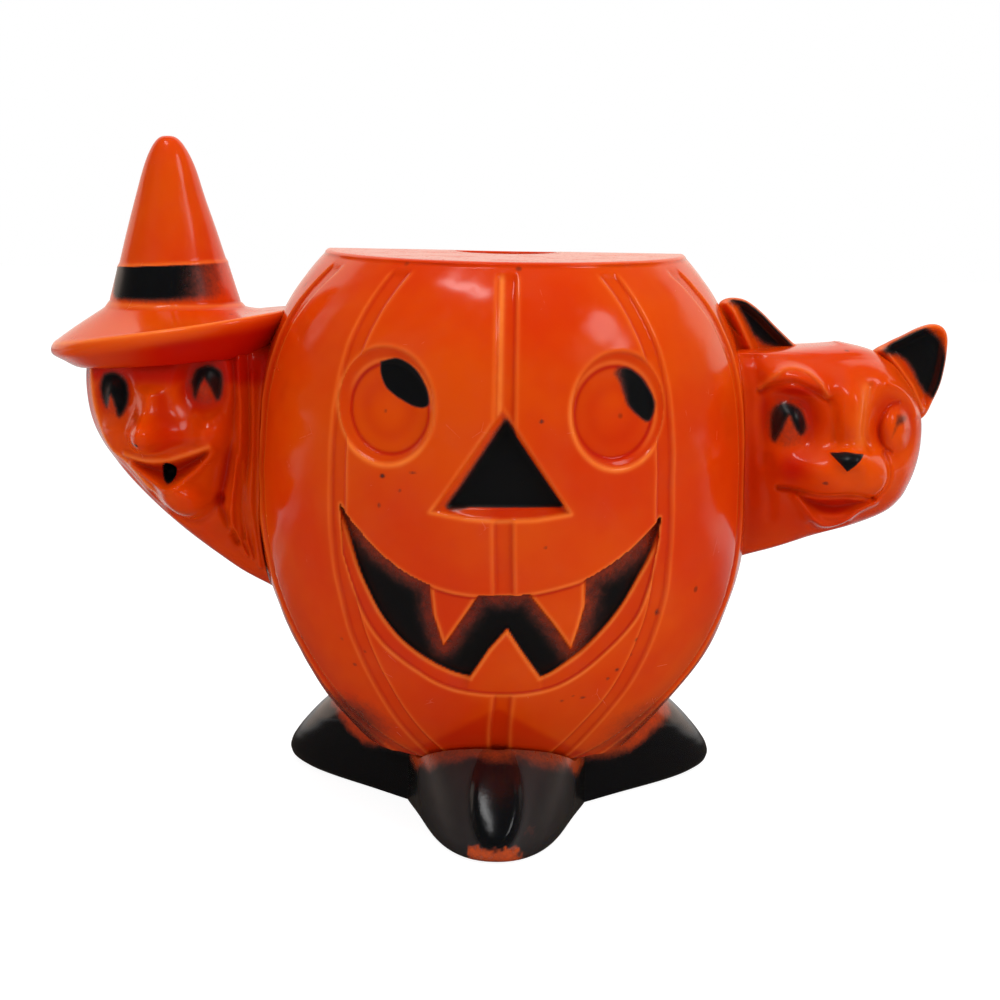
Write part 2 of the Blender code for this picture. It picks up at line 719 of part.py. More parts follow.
def hat():
    """The hollow cone and its brim, pressed over the witch's crown."""
    tip_turns = np.linspace(0.0, math.pi / 2, 5)
    tip_height = HAT_TOP_HEIGHT - HAT_TIP_RADIUS
    tip = [
        (HAT_TIP_RADIUS * math.sin(turn), tip_height + HAT_TIP_RADIUS * math.cos(turn))
        for turn in tip_turns
    ]
    side = [(float(hat_radius(height)), height) for height in np.linspace(tip_height, HAT_BASE_HEIGHT, 8)]
    edge_height = HAT_BASE_HEIGHT - BRIM_DROOP
    brim = []
    for share in (0.25, 0.55, 0.85):
        radius = HAT_BASE_RADIUS + share * (BRIM_RADIUS - HAT_BASE_RADIUS)
        brim.append((radius, HAT_BASE_HEIGHT - BRIM_DROOP * share**BRIM_CURVE))
    brim.append((BRIM_RADIUS - BRIM_EDGE * 0.3, edge_height + BRIM_EDGE * 0.2))
    brim.append((BRIM_RADIUS, edge_height - BRIM_EDGE * 0.5))
    brim.append((BRIM_RADIUS - BRIM_EDGE * 0.5, edge_height - BRIM_EDGE * 1.3))
    brim.append(((BRIM_RADIUS + HAT_BASE_RADIUS) / 2 + BRIM_EDGE, edge_height - BRIM_THICKNESS))
    brim.append((0.0, edge_height - BRIM_THICKNESS))
    solid = turned("hat", tip + side[1:] + brim, HAT_SIDES)

    def lean(points):
        x, y, z = points.T
        distance = np.hypot(x, y)
        share = np.clip((distance - HAT_BASE_RADIUS) / (BRIM_RADIUS - HAT_BASE_RADIUS), 0.0, 1.0)
        above = np.clip(z - HAT_BASE_HEIGHT, 0.0, None)
        z = z + x * math.tan(BRIM_TILT) * share
        x = x - (BODY_RADIUS + HAT_OUT) - math.tan(HAT_LEAN) * above
        return np.stack([x, y, z], axis=1)

    return moved(solid, lean)


def base_form(name, inset, drop):
    """The stem with its toes as a stack of three-lobed outlines, drawn in by `inset`."""
    turns = [math.tau * i / TOE_SIDES for i in range(TOE_SIDES)]
    between = math.pi / TOE_COUNT

    def lobe(turn, width):
        """One along a toe's middle, falling in a bell curve to none between two toes."""
        away = abs((turn + between) % (2 * between) - between) / between
        low = 1 / (1 + (1 / width) ** TOE_FALL)
        return (1 / (1 + (away / width) ** TOE_FALL) - low) / (1 - low)

    def build(shape):
        rings = []
        for height, front_reach, side_reach, width in TOE_STATIONS:
            ring = []
            for turn in turns:
                reach = front_reach if math.cos(turn) > math.cos(between) else side_reach
                radius = STEM_RADIUS - inset + (reach - STEM_RADIUS) * lobe(turn, width)
                place = (radius * math.sin(turn), -radius * math.cos(turn), height - drop)
                ring.append(shape.verts.new(place))
            rings.append(ring)
        for below, above in zip(rings, rings[1:]):
            for i in range(TOE_SIDES):
                j = (i + 1) % TOE_SIDES
                shape.faces.new((below[i], below[j], above[j], above[i]))
        shape.faces.new(rings[0])
        shape.faces.new(rings[-1])

    return object_from(name, build)


def base(seat):
    """The three-toed base: hollow under the toes, with a hub, a boss and a seat for the pumpkin."""
    solid = combined(base_form("base", 0.0, 0.0), seat, "DIFFERENCE")
    hollow = base_form("base hollow", BASE_WALL, BASE_WALL)
    hollow = combined(hollow, pumpkin("base roof", -GAP - BASE_WALL), "DIFFERENCE")
    hub = cylinder("hub", HUB_RADIUS, (0, 0, -ROOM / 10), (0, 0, FLOOR_HEIGHT), INNER_SIDES)
    hollow = combined(hollow, hub, "DIFFERENCE")
    solid = combined(solid, hollow, "DIFFERENCE")
    boss_top = FLOOR_HEIGHT + BODY_WALL + BOSS_RISE
    boss = cylinder("boss", BOSS_RADIUS, (0, 0, FLOOR_HEIGHT - BASE_WALL), (0, 0, boss_top))
    return combined(solid, boss, "UNION")


def finished(source, name, colour, roughness):
    """The named sub-part: shaded smooth, with its own plastic, in the container's collection."""
    source.name = name
    source.data.name = name
    source.hide_render = False
    source.display_type = "TEXTURED"
    CUTTERS.objects.unlink(source)
    PARTS.objects.link(source)
    source.data.materials.clear()
    source.data.materials.append(plastic(name, colour, roughness))
    source.data.shade_smooth()
    source.data.set_sharp_from_angle(angle=math.radians(35))
    return source


def build_container():
    seat = pumpkin("seat", -GAP)
    body_front, body_back = pumpkin_halves()
    ears = [ear(f"{key} ear", *sizes) for key, sizes in EARS.items()]
    witch_front, witch_back = head_halves("witch", witch, [], seat)
    cat_front, cat_back = head_halves("cat", cat, ears, seat)
    body_front, witch_front = pegged(body_front, witch_front, -1, -1)
    body_back, witch_back = pegged(body_back, witch_back, -1, 1)
    body_front, cat_front = pegged(body_front, cat_front, 1, -1)
    body_back, cat_back = pegged(body_back, cat_back, 1, 1)
    brimmed = combined(hat(), witch("crown clearance", -HAT_FIT), "DIFFERENCE")
    brimmed = combined(brimmed, seat, "DIFFERENCE")
    finished(body_front, "pumpkin_front_shell", ORANGE, 0.22)
    finished(body_back, "pumpkin_back_shell", ORANGE, 0.22)
    finished(witch_front, "witch_head_front_shell", ORANGE, 0.22)
    finished(witch_back, "witch_head_back_shell", ORANGE, 0.22)
    finished(brimmed, "witch_hat", ORANGE, 0.22)
    finished(cat_front, "cat_head_front_shell", ORANGE, 0.22)
    finished(cat_back, "cat_head_back_shell", ORANGE, 0.22)
    finished(base(seat), "tripod_base", BLACK, 0.3)


CHANNEL_PAIRS = (INNER_CHANNEL, OUTER_CHANNEL)
clear_scene()
PARTS = new_collection("candy_container", hidden=False)
CUTTERS = new_collection("cutters", hidden=True)
build_container()
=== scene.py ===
import functools
import math

import bmesh
import bpy
import numpy as np
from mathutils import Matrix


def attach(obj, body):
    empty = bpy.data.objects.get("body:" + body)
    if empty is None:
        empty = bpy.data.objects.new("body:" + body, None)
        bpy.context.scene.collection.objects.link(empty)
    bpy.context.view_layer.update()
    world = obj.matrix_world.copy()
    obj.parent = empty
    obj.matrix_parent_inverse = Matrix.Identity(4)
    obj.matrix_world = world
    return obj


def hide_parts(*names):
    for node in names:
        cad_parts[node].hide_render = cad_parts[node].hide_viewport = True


# The view. The camera stands at the photograph's place, about 280 mm in front of the container and
# a little above its top, and looks slightly down. Sizes in this file are in millimetres, and each
# mesh is made in metres. x runs from the witch's side to the cat's, -y is the carved face's side.
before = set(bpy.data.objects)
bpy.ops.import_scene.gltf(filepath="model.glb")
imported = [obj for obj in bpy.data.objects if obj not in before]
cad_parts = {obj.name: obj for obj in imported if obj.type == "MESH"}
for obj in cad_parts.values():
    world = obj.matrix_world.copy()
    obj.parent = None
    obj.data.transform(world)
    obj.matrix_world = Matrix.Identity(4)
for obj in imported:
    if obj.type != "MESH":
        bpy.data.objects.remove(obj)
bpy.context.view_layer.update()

CAMERA_DISTANCE = 280.0
CAMERA_HEIGHT = 84.9
CAMERA_PITCH = math.radians(8.63)
CAMERA_ROLL = math.radians(1.0)

lens = bpy.data.cameras.new("camera")
lens.sensor_width = 36.0
lens.lens = 71.06
lens.shift_x = -0.0064
lens.clip_start = 0.01
camera = bpy.data.objects.new("camera", lens)
camera.rotation_mode = "XYZ"
camera.location = (0.0, -CAMERA_DISTANCE / 1000, CAMERA_HEIGHT / 1000)
camera.rotation_euler = (math.pi / 2 - CAMERA_PITCH, -CAMERA_ROLL, 0.0)
bpy.context.scene.collection.objects.link(camera)
bpy.context.scene.camera = camera

# The base: a stem with three toes under the pumpkin, one to the front and two to the back corners.
# It is orange plastic sprayed black, open below round a flat hub, and the pumpkin sits in its top.
# The paint is thin where the toes meet the pumpkin and is rubbed off the front toe's lowest edge.
STEM_RADIUS = 14.6
STEM_TOP = 14.4
TOES = 3
TOE_HALF_TURN = math.pi / TOES
TOE_FALL = 2.2
TOE_HEIGHTS = np.array([0.0, 0.4, 1.3, 2.8, 4.8, 7.2, 9.6, 12.0, 14.4])
FRONT_REACH = np.array([33.8, 34.4, 34.6, 33.7, 31.8, 29.1, 26.2, 23.3, 20.4])
SIDE_REACH = np.array([33.9, 34.9, 35.6, 35.3, 33.9, 31.7, 29.2, 26.4, 23.4])
RIGHT_TOE_MORE = 0.8
TOE_WIDTH = np.array([0.385, 0.390, 0.400, 0.430, 0.480, 0.560, 0.660, 0.700, 0.700])
PAD_HALF_WIDTH = 3.7
PAD_HALF_HEIGHT = 5.8
PAD_MIDDLE = 7.1
PAD_RISE = 0.9
HUB_RADIUS = 4.5
HOLLOW_HEIGHT = 6.4
BASE_WALL = 2.0
BOSS_RADIUS = 3.0
BOSS_TOP = 12.2
BASE_EDGE = 0.3
SEAT_RADIUS = 9.0
SEAT_GAP = 0.3
BASE_COLUMNS = 480
TOP_LEVELS = 140
SIDE_ROWS = 90
SEAT_ROWS = 14
HOLLOW_ROWS = 16

BELLY_RADIUS = 35.0
BELLY_HEIGHT = 45.0
RIM_RADIUS = 24.9
RIM_HEIGHT = 77.9
RIM_POWER = 3.2
FLOOR_RADIUS = 20.0
FLOOR_HEIGHT = 9.0
FLOOR_POWER = 2.3
SEAT_HEIGHT = FLOOR_HEIGHT - SEAT_GAP


def step(low, high, value):
    """A smooth rise from 0 at `low` to 1 at `high`: t t (3 - 2 t), with t the share of the way."""
    t = np.clip((value - low) / (high - low), 0.0, 1.0)
    return t * t * (3 - 2 * t)


def bell(away, half):
    """1 in the middle and less to both sides: exp(-(away / half)^2)."""
    return np.exp(-((away / half) ** 2))


def most(*masks):
    """The largest of several masks at each place."""
    return functools.reduce(np.maximum, masks)


def between(stations, values, at):
    """A smooth curve through stations: a cubic between each two, with the mean slope at each."""
    slopes = np.gradient(values, stations)
    i = np.clip(np.searchsorted(stations, at) - 1, 0, len(stations) - 2)
    width = stations[i + 1] - stations[i]
    t = np.clip((at - stations[i]) / width, 0.0, 1.0)
    start = values[i] * (1 + 2 * t) * (1 - t) ** 2 + width * slopes[i] * t * (1 - t) ** 2
    return start + values[i + 1] * (3 - 2 * t) * t**2 - width * slopes[i + 1] * (1 - t) * t**2


def body_radius(z):
    """The pumpkin's radius at a height: full at the belly, and less by a power of the way up or
    down from it."""
    up = np.clip((z - BELLY_HEIGHT) / (RIM_HEIGHT - BELLY_HEIGHT), 0.0, None)
    down = np.clip((BELLY_HEIGHT - z) / (BELLY_HEIGHT - FLOOR_HEIGHT), 0.0, None)
    less_above = (BELLY_RADIUS - RIM_RADIUS) * up**RIM_POWER
    return BELLY_RADIUS - less_above - (BELLY_RADIUS - FLOOR_RADIUS) * down**FLOOR_POWER


def swept(radius, turn, z):
    """Points at a radius, a turn from the front towards the cat's side, and a height."""
    parts = (radius * np.sin(turn), -radius * np.cos(turn), z)
    return np.stack(np.broadcast_arrays(*parts), axis=-1)


def waver(x, y, z, size, seed):
    """A slow unevenness about 1 high: nine sine waves in several directions, `size` mm long."""
    total = np.zeros(np.broadcast(x, y, z).shape)
    numbers = np.random.default_rng(seed)
    for _ in range(9):
        way = numbers.normal(size=3)
        way /= np.linalg.norm(way) * size / math.tau * numbers.uniform(0.6, 1.6)
        total = total + np.sin(x * way[0] + y * way[1] + z * way[2] + numbers.uniform(0, math.tau))
    return total / 3.0


def moulding(name, points, masks, material, closed="columns", crisp_rows=(), crisp_columns=()):
    """A mesh from a grid of points in mm, rows by columns, closed round one way, with point masks.

    Points that fall together are merged, so poles and seams close, open ends get a flat cap, and
    the faces are turned outwards. The rows and columns named crisp keep a hard edge.
    """
    rows, columns = points.shape[:2]
    index = np.arange(rows * columns).reshape(rows, columns)
    if closed == "rows":
        index = np.vstack([index, index[:1]])
    else:
        index = np.hstack([index, index[:, :1]])
    faces = np.stack([index[:-1, :-1], index[:-1, 1:], index[1:, 1:], index[1:, :-1]], axis=-1)
    mesh = bpy.data.meshes.new(name)
    mesh.from_pydata(points.reshape(-1, 3) / 1000, [], faces.reshape(-1, 4))
    mesh.shade_smooth()
    for key, values in masks.items():
        layer = mesh.attributes.new(key, "FLOAT", "POINT")
        layer.data.foreach_set("value", values.astype(np.float32).ravel())
    ends = np.empty(2 * len(mesh.edges), dtype=np.int32)
    mesh.edges.foreach_get("vertices", ends)
    first, second = ends.reshape(-1, 2).T
    same_row = first // columns == second // columns
    same_column = first % columns == second % columns
    crisp = same_row & np.isin(first // columns, [row % rows for row in crisp_rows])
    crisp |= same_column & np.isin(first % columns, [place % columns for place in crisp_columns])
    mesh.attributes.new("sharp_edge", "BOOLEAN", "EDGE").data.foreach_set("value", crisp)
    shape = bmesh.new()
    shape.from_mesh(mesh)
    bmesh.ops.remove_doubles(shape, verts=shape.verts, dist=2e-6)
    rim = [edge for edge in shape.edges if edge.is_boundary]
    for face in bmesh.ops.holes_fill(shape, edges=rim, sides=0)["faces"]:
        face.smooth = False
        for edge in face.edges:
            edge.smooth = False
    bmesh.ops.recalc_face_normals(shape, faces=shape.faces)
    shape.to_mesh(mesh)
    shape.free()
    mesh.materials.append(material)
    made = bpy.data.objects.new(name, mesh)
    bpy.context.scene.collection.objects.link(made)
    return made


class Wired:
    """An output socket of a material's nodes. Python's operators on it add Math nodes."""

    def __init__(self, tree, socket=None):
        self.tree = tree
        self.socket = socket

    def node(self, kind, settings=(), sockets=(), output=0):
        """A new node: its settings go in first, then its sockets' values or links."""
        made = self.tree.nodes.new(kind)
        for key, value in dict(settings).items():
            if key == "stops":
                for place, colour in value[len(made.color_ramp.elements):]:
                    made.color_ramp.elements.new(place)
                for stop, (place, colour) in zip(made.color_ramp.elements, value):
                    stop.position = place
                    stop.color = colour
            else:
                setattr(made, key, value)
        for key, value in dict(sockets).items():
            if isinstance(value, Wired):
                self.tree.links.new(value.socket, made.inputs[key])
            else:
                made.inputs[key].default_value = value
        return Wired(self.tree, made.outputs[output])

    def sum(self, operation, *values):
        return self.node("ShaderNodeMath", {"operation": operation}, enumerate(values))

    def __add__(self, other):
        return self.sum("ADD", self, other)

    def __sub__(self, other):
        return self.sum("SUBTRACT", self, other)

    def __rsub__(self, other):
        return self.sum("SUBTRACT", other, self)

    def __mul__(self, other):
        return self.sum("MULTIPLY", self, other)

    __radd__ = __add__
    __rmul__ = __mul__

    def rise(self, low, high):
        """Smoothly from 0 at `low` to 1 at `high`."""
        return self.node(
            "ShaderNodeMapRange",
            {"interpolation_type": "SMOOTHSTEP"},
            {"Value": self, "From Min": low, "From Max": high},
        )

    def tint(self, first, second):
        """A colour between two, at this share of the way."""
        return self.node("ShaderNodeMix", {"data_type": "RGBA"}, {0: self, 6: first, 7: second}, 2)


ORANGE = (0.65, 0.034, 0.0003, 1.0)
LIGHT_ORANGE = (0.71, 0.068, 0.0004, 1.0)
# the next two colours are painted light: a deep red for shade in hollows, and a pale orange for
# highlights on sharp edges
PAINTED_SHADE_RED = (0.50, 0.0045, 0.0004, 1.0)
PAINTED_HIGHLIGHT = (0.95, 0.22, 0.030, 1.0)
PAINT_BLACK = (0.0045, 0.0048, 0.0056, 1.0)
PAINT_BROWN = (0.052, 0.019, 0.013, 1.0)
DULL_BLACK = (0.036, 0.029, 0.028, 1.0)
SPECK_BROWN = (0.05, 0.014, 0.006, 1.0)


def sprayed_plastic(name, paint_roughness, bare_roughness):
    """Glossy, slightly clouded orange plastic, with black paint sprayed on it by masks.

    The mask `paint` runs from 0, bare, to 1, full. Grain in the spray breaks its edge up, and thin
    paint is brown. A mask of painted shade turns the hollows deep red, the mask `edge` paints
    highlights as a paler colour along sharp moulded edges, and the mask `dust` dulls and greys the
    paint.
    """
    material = bpy.data.materials.new(name)
    material.use_nodes = True
    tree = material.node_tree
    shader = tree.nodes["Principled BSDF"]
    make = Wired(tree)
    place = make.node("ShaderNodeTexCoord", output=3)

    def noise(scale, detail, roughness=0.5):
        return make.node(
            "ShaderNodeTexNoise",
            sockets={"Vector": place, "Scale": scale, "Detail": detail, "Roughness": roughness},
        )

    def mask(key):
        return make.node("ShaderNodeAttribute", {"attribute_name": key}, output=2)

    def cells(scale, settings=(), output=0):
        sockets = {"Vector": place, "Scale": scale}
        return make.node("ShaderNodeTexVoronoi", settings, sockets, output)

    cloud = noise(34.0, 4.0, 0.55)
    grain = noise(2600.0, 2.0)
    spray = noise(900.0, 4.0, 0.7)
    smudge = noise(170.0, 5.0, 0.6)
    scuffs = cells(210.0, {"feature": "DISTANCE_TO_EDGE"})
    specks = cells(260.0)
    chance = make.node(
        "ShaderNodeTexWhiteNoise", {"noise_dimensions": "3D"}, {"Vector": cells(260.0, output=2)}
    )
    orange = cloud.rise(0.35, 0.68).tint(ORANGE, LIGHT_ORANGE)
    # painted shade: where the shade mask is high, in hollows and under overhangs, the orange turns
    # deep red
    orange = mask("crease").rise(0.0, 1.0).tint(orange, PAINTED_SHADE_RED)
    # painted highlight: along sharp moulded edges the orange turns pale, mottled by the smudge
    # noise
    orange = (mask("edge") * (0.35 + smudge * 0.9)).tint(orange, PAINTED_HIGHLIGHT)
    speck = (1.0 - specks.rise(0.05, 0.16)) * chance.rise(0.95, 0.975) * 0.6
    orange = speck.tint(orange, SPECK_BROWN)
    laid = mask("paint") + (spray - 0.5) * 0.30 + (grain - 0.5) * 0.20
    cover = laid.rise(0.08, 0.92)
    black = (cover * cover).tint(PAINT_BROWN, PAINT_BLACK)
    black = (mask("dust") * (0.55 + smudge * 0.9)).tint(black, DULL_BLACK)
    bare = 1.0 - cover
    colour = (1.0 - bare * bare).tint(orange, black)
    rubbed = (1.0 - scuffs.rise(0.0, 0.02)) * smudge.rise(0.55, 0.7)
    worn = smudge.rise(0.45, 0.75) * 0.08 + spray.rise(0.52, 0.66) * 0.07 + rubbed * 0.12
    rough = bare * (bare_roughness + worn) + cover * (mask("dust") * 0.45 + paint_roughness)
    skin = noise(420.0, 2.0) * 0.6 + grain * (cover * 0.45 + 0.09)
    bump = make.node(
        "ShaderNodeBump", sockets={"Strength": 0.35, "Distance": 0.00004, "Height": skin}
    )
    tree.links.new(colour.socket, shader.inputs["Base Color"])
    tree.links.new(rough.socket, shader.inputs["Roughness"])
    tree.links.new(bump.socket, shader.inputs["Normal"])
    shader.inputs["IOR"].default_value = 1.49
    shader.inputs["Subsurface Weight"].default_value = 0.18
    shader.inputs["Subsurface Radius"].default_value = (1.0, 0.22, 0.05)
    shader.inputs["Subsurface Scale"].default_value = 0.0022
    return material


def from_toe(turn):
    """How far a turn is from the middle of the nearest toe."""
    return np.abs((turn + TOE_HALF_TURN) % (2 * TOE_HALF_TURN) - TOE_HALF_TURN)


def from_pad(turn, radius, z):
    """How far a place is from the middle of a toe's raised pad, 1 at the pad's edge."""
    return np.hypot(from_toe(turn) * radius / PAD_HALF_WIDTH, (z - PAD_MIDDLE) / PAD_HALF_HEIGHT)


def toe_radius(turn, z, shrink=0.0):
    """How far the base reaches at a turn from the front and a height: the stem, and a bell-shaped
    lobe along each toe, whose reach and width change with height."""
    away = from_toe(turn) / TOE_HALF_TURN
    width = between(TOE_HEIGHTS, TOE_WIDTH, z)
    front = np.cos(turn) > math.cos(TOE_HALF_TURN)
    side_reach = between(TOE_HEIGHTS, SIDE_REACH, z) + RIGHT_TOE_MORE * (np.sin(turn) > 0)
    reach = np.where(front, between(TOE_HEIGHTS, FRONT_REACH, z), side_reach)
    low = 1 / (1 + (1 / width) ** TOE_FALL)
    lobe = (1 / (1 + (away / width) ** TOE_FALL) - low) / (1 - low)
    return STEM_RADIUS - shrink + (reach - STEM_RADIUS) * lobe


turn = np.linspace(-math.pi, math.pi, BASE_COLUMNS, endpoint=False)[None, :]


def ring(radius, z):
    """One row of the base's outline at a radius and height, the same all round."""
    return np.stack(np.broadcast_arrays(radius + 0 * turn, z + 0 * turn), axis=-1)


levels = np.linspace(SEAT_HEIGHT, STEM_TOP, TOP_LEVELS)[:, None]
outside = toe_radius(turn, levels) > body_radius(levels) + SEAT_GAP
top = np.where(outside, levels, SEAT_HEIGHT).max(axis=0)[None, :]
height = top * (1 - np.cos(np.linspace(0, math.pi, SIDE_ROWS))[:, None]) / 2
radius = toe_radius(turn, height)
front_pad = step(1.0, 0.70, from_pad(turn, radius, height)) * (np.cos(turn) > 0.5)
radius = radius + PAD_RISE * front_pad
side = np.stack([radius, height], axis=-1)
share = np.linspace(0, 1, SEAT_ROWS)[1:, None]
seat_height = top * (1 - share) + SEAT_HEIGHT * share
seat_radius = np.minimum(body_radius(seat_height) + SEAT_GAP, side[-1:, :, 0])
seat = np.stack([seat_radius, seat_height], axis=-1)
boss = np.concatenate([ring(*place) for place in (
    (SEAT_RADIUS, SEAT_HEIGHT), (BOSS_RADIUS + BASE_EDGE, SEAT_HEIGHT),
    (BOSS_RADIUS, SEAT_HEIGHT + BASE_EDGE), (BOSS_RADIUS, BOSS_TOP - BASE_EDGE),
    (BOSS_RADIUS - BASE_EDGE, BOSS_TOP), (0.0, BOSS_TOP),
)])
wall_height = HOLLOW_HEIGHT * np.linspace(0, 1, HOLLOW_ROWS)[:, None]
wall_radius = np.maximum(toe_radius(turn, wall_height + BASE_WALL, BASE_WALL), HUB_RADIUS + 1.0)
wall = np.stack([wall_radius, wall_height + 0 * turn], axis=-1)[::-1]
hub = np.concatenate([ring(*place) for place in (
    (0.0, 0.0), (HUB_RADIUS - BASE_EDGE, 0.0), (HUB_RADIUS, BASE_EDGE),
    (HUB_RADIUS, HOLLOW_HEIGHT - BASE_EDGE), (HUB_RADIUS + 0.4, HOLLOW_HEIGHT + 0.1),
)])
roof = wall[:1] * [0.75, 1.0]
outline = np.concatenate([hub, roof, wall, side, seat, boss])
r, z = outline[..., 0], outline[..., 1]
points = swept(r, turn, z)
x, y = points[..., 0], points[..., 1]

# the paint is rubbed off the front toe's lowest edge, and in a small patch at the right of it
worn_edge = step(4.1, 3.1, np.abs(x) + 0.5 * waver(x, y, z, 1.2, 3))
worn_edge = worn_edge * step(2.8, 1.6, z + 0.25 * waver(x, y, z, 0.9, 4))
worn_edge = 0.70 * worn_edge * step(-28.5, -29.5, y)
small_wear = np.hypot(x - 4.6, z - 3.3) + 0.4 * waver(x, y, z, 0.8, 5)
small_wear = step(1.1, 0.5, small_wear) * (y < -20)
# it is thin in a strip under the pumpkin, which is wider at the sides
thin_strip = 2.0 + 1.6 * step(3.0, 7.0, np.abs(x)) + 1.3 * step(9.0, 14.0, x) * (y > -24)
thin_paint = 0.42 - 0.14 * step(7.0, 13.0, np.abs(x))
below_seam = (top - z + 0.3 * waver(x, y, z, 4.0, 6)) / thin_strip
full_paint = thin_paint + (1 - thin_paint) * step(0.2, 1.0, below_seam) * (z < top + 0.01)
paint = np.where(r > HUB_RADIUS, 1.15 * full_paint, 0.0)
paint = paint * (1 - worn_edge) * (1 - 0.4 * small_wear)
# dust dulls the front toe round its pad
dust = 0.62 * (1 - step(1.05, 0.9, from_pad(turn, r, z))) * step(-16.0, -19.0, y)
dust = dust * (np.abs(turn) < 0.9)
# the edge mask paints a pale highlight on the bare plastic, stronger where the paint is rubbed off
masks = {"paint": paint, "edge": 0.35 * worn_edge + 0.13, "dust": dust}
base_paint = sprayed_plastic("black_sprayed_base", 0.17, 0.16)
base = moulding("toed_base", points, masks, base_paint)
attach(base, "root")
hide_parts("tripod_base")

# The pumpkin's front shell: half of a hollow ball of glossy orange plastic with a flat, slightly
# sloping deck and a round mouth in it. Channels run down it. The eyes, the nose and the smile are
# sunk into it in the mould, and black paint is sprayed through a mask on their floors.
BODY_WALL = 2.6
RIM_EDGE = 0.5
DECK_FALL = math.tan(math.radians(1.9))
MOUTH_RADIUS = 7.2
MOUTH_EDGE = 0.3
CHANNELS = ((57.5, 12.0), (101.3, 17.7))
MIDDLE_CHANNEL_X = 0.3
CHANNEL_HALF = 1.15
CHANNEL_DEPTH = 0.45
CHANNEL_STOP = 75.9
SKIN_UNDER_CAD = 0.13
DEPTH_OF_CARVING = 1.75

LEFT_PUPIL = [
    (-15.7, 64.3), (-13.5, 64.8), (-11.3, 63.7), (-9.8, 61.5), (-9.4, 59.3), (-10.7, 58.8),
    (-12.6, 59.5), (-14.8, 60.9), (-15.7, 62.7),
]
RIGHT_PUPIL = [
    (14.6, 64.1), (16.2, 63.8), (17.9, 62.4), (19.3, 60.2), (19.5, 58.6), (18.8, 57.2),
    (17.2, 58.2), (15.8, 59.6), (15.0, 61.7), (14.1, 63.3),
]
EYES = (
    # the outer and the inner oval's middle and half sizes, the pupil, and whether its spray fades
    ((-15.0, 58.9, 6.45, 7.5), (-14.45, 58.4, 5.15, 5.75), LEFT_PUPIL, False),
    ((14.8, 58.8, 6.25, 7.5), (14.2, 58.4, 5.15, 5.85), RIGHT_PUPIL, True),
)
NOSE = [(0.0, 59.2), (-9.0, 45.8), (-4.5, 45.1), (0.0, 44.9), (4.5, 45.1), (8.9, 45.8)]
NOSE_FLOOR = [(0.45, 57.3), (-6.5, 46.5), (7.8, 46.7)]
SMILE_TOP = [
    (-21.2, 45.7), (-19.2, 43.4), (-16.5, 40.6), (-13.8, 38.5), (-11.8, 37.3), (-9.3, 36.2),
    (-6.9, 35.5), (-4.1, 35.1), (-1.2, 35.1), (1.9, 35.2), (4.7, 35.6), (7.8, 36.3), (10.7, 37.2),
    (13.2, 38.5), (16.1, 40.4), (18.7, 42.6), (20.9, 44.7),
]
SMILE_LOW = [
    (20.6, 40.9), (19.6, 36.6), (17.9, 32.1), (15.9, 29.2), (13.5, 26.7), (10.6, 24.1), (7.5, 22.2),
    (4.1, 21.2), (0.7, 20.9), (-2.8, 21.0), (-6.1, 21.5), (-8.8, 22.5), (-11.1, 23.9),
    (-13.6, 25.6), (-15.8, 27.5), (-17.9, 30.5), (-19.4, 33.9), (-20.9, 39.2),
]
FLOOR_LOW_RIGHT = [
    (21.0, 43.8), (19.3, 39.8), (17.9, 37.3), (16.2, 34.4), (14.2, 31.5), (12.2, 29.1),
    (10.2, 27.0), (8.2, 25.4), (6.5, 24.2), (5.3, 23.6),
]
FLOOR_LOW_LEFT = [
    (-4.3, 23.5), (-6.6, 24.1), (-9.0, 25.2), (-11.3, 26.7), (-13.7, 28.7), (-16.1, 31.9),
    (-17.9, 35.7), (-19.1, 39.2), (-20.1, 42.6),
]
LEFT_FANG = [
    (-9.2, 37.5), (-9.2, 35.7), (-8.9, 32.1), (-7.6, 27.7), (-5.7, 30.8), (-3.1, 34.9),
    (-2.4, 37.0),
]
RIGHT_FANG = [
    (3.0, 37.0), (3.7, 35.0), (6.9, 30.7), (9.0, 27.4), (9.9, 30.5), (10.7, 33.6), (10.7, 38.5),
]
TOOTH = [
    (-4.6, 20.0), (-4.2, 23.4), (-1.7, 27.7), (0.65, 30.7), (2.5, 27.7), (5.2, 23.5), (5.6, 20.0),
]


def from_line(x, z, marks):
    """How far each place is from a line through marks."""
    nearest = np.full(x.shape, 1e3)
    for (ax, az), (bx, bz) in zip(marks, marks[1:]):
        dx, dz = bx - ax, bz - az
        share = np.clip(((x - ax) * dx + (z - az) * dz) / (dx**2 + dz**2), 0.0, 1.0)
        nearest = np.minimum(nearest, np.hypot(x - ax - share * dx, z - az - share * dz))
    return nearest


def inside(x, z, marks):
    """How deep each place lies inside a closed outline, below 0 outside it: its distance from the
    outline, with the sign from how often a line straight up from it crosses the outline."""
    closed = list(marks) + [marks[0]]
    odd = np.zeros(x.shape, dtype=bool)
    for (ax, az), (bx, bz) in zip(closed, closed[1:]):
        if ax != bx:
            odd ^= ((ax > x) != (bx > x)) & (z < az + (x - ax) * (bz - az) / (bx - ax))
    return np.where(odd, 1.0, -1.0) * from_line(x, z, closed)


def curved(marks, parts=6):
    """More marks, on a smooth curve through the given ones."""
    marks = np.array(marks)
    count = np.arange(len(marks), dtype=float)
    at = np.linspace(0, len(marks) - 1, parts * (len(marks) - 1) + 1)
    return list(zip(between(count, marks[:, 0], at), between(count, marks[:, 1], at)))


def inside_curve(x, z, marks, parts=3):
    """How deep each place lies inside a smooth closed curve through marks."""
    return inside(x, z, curved(marks + marks[:1], parts)[:-1])


def inside_oval(x, z, middle_x, middle_z, half_x, half_z):
    """How deep each place lies inside an oval: (1 - q) times its smaller half size, where q is the
    distance from the middle with each way measured in half sizes."""
    return (1 - np.hypot((x - middle_x) / half_x, (z - middle_z) / half_z)) * min(half_x, half_z)


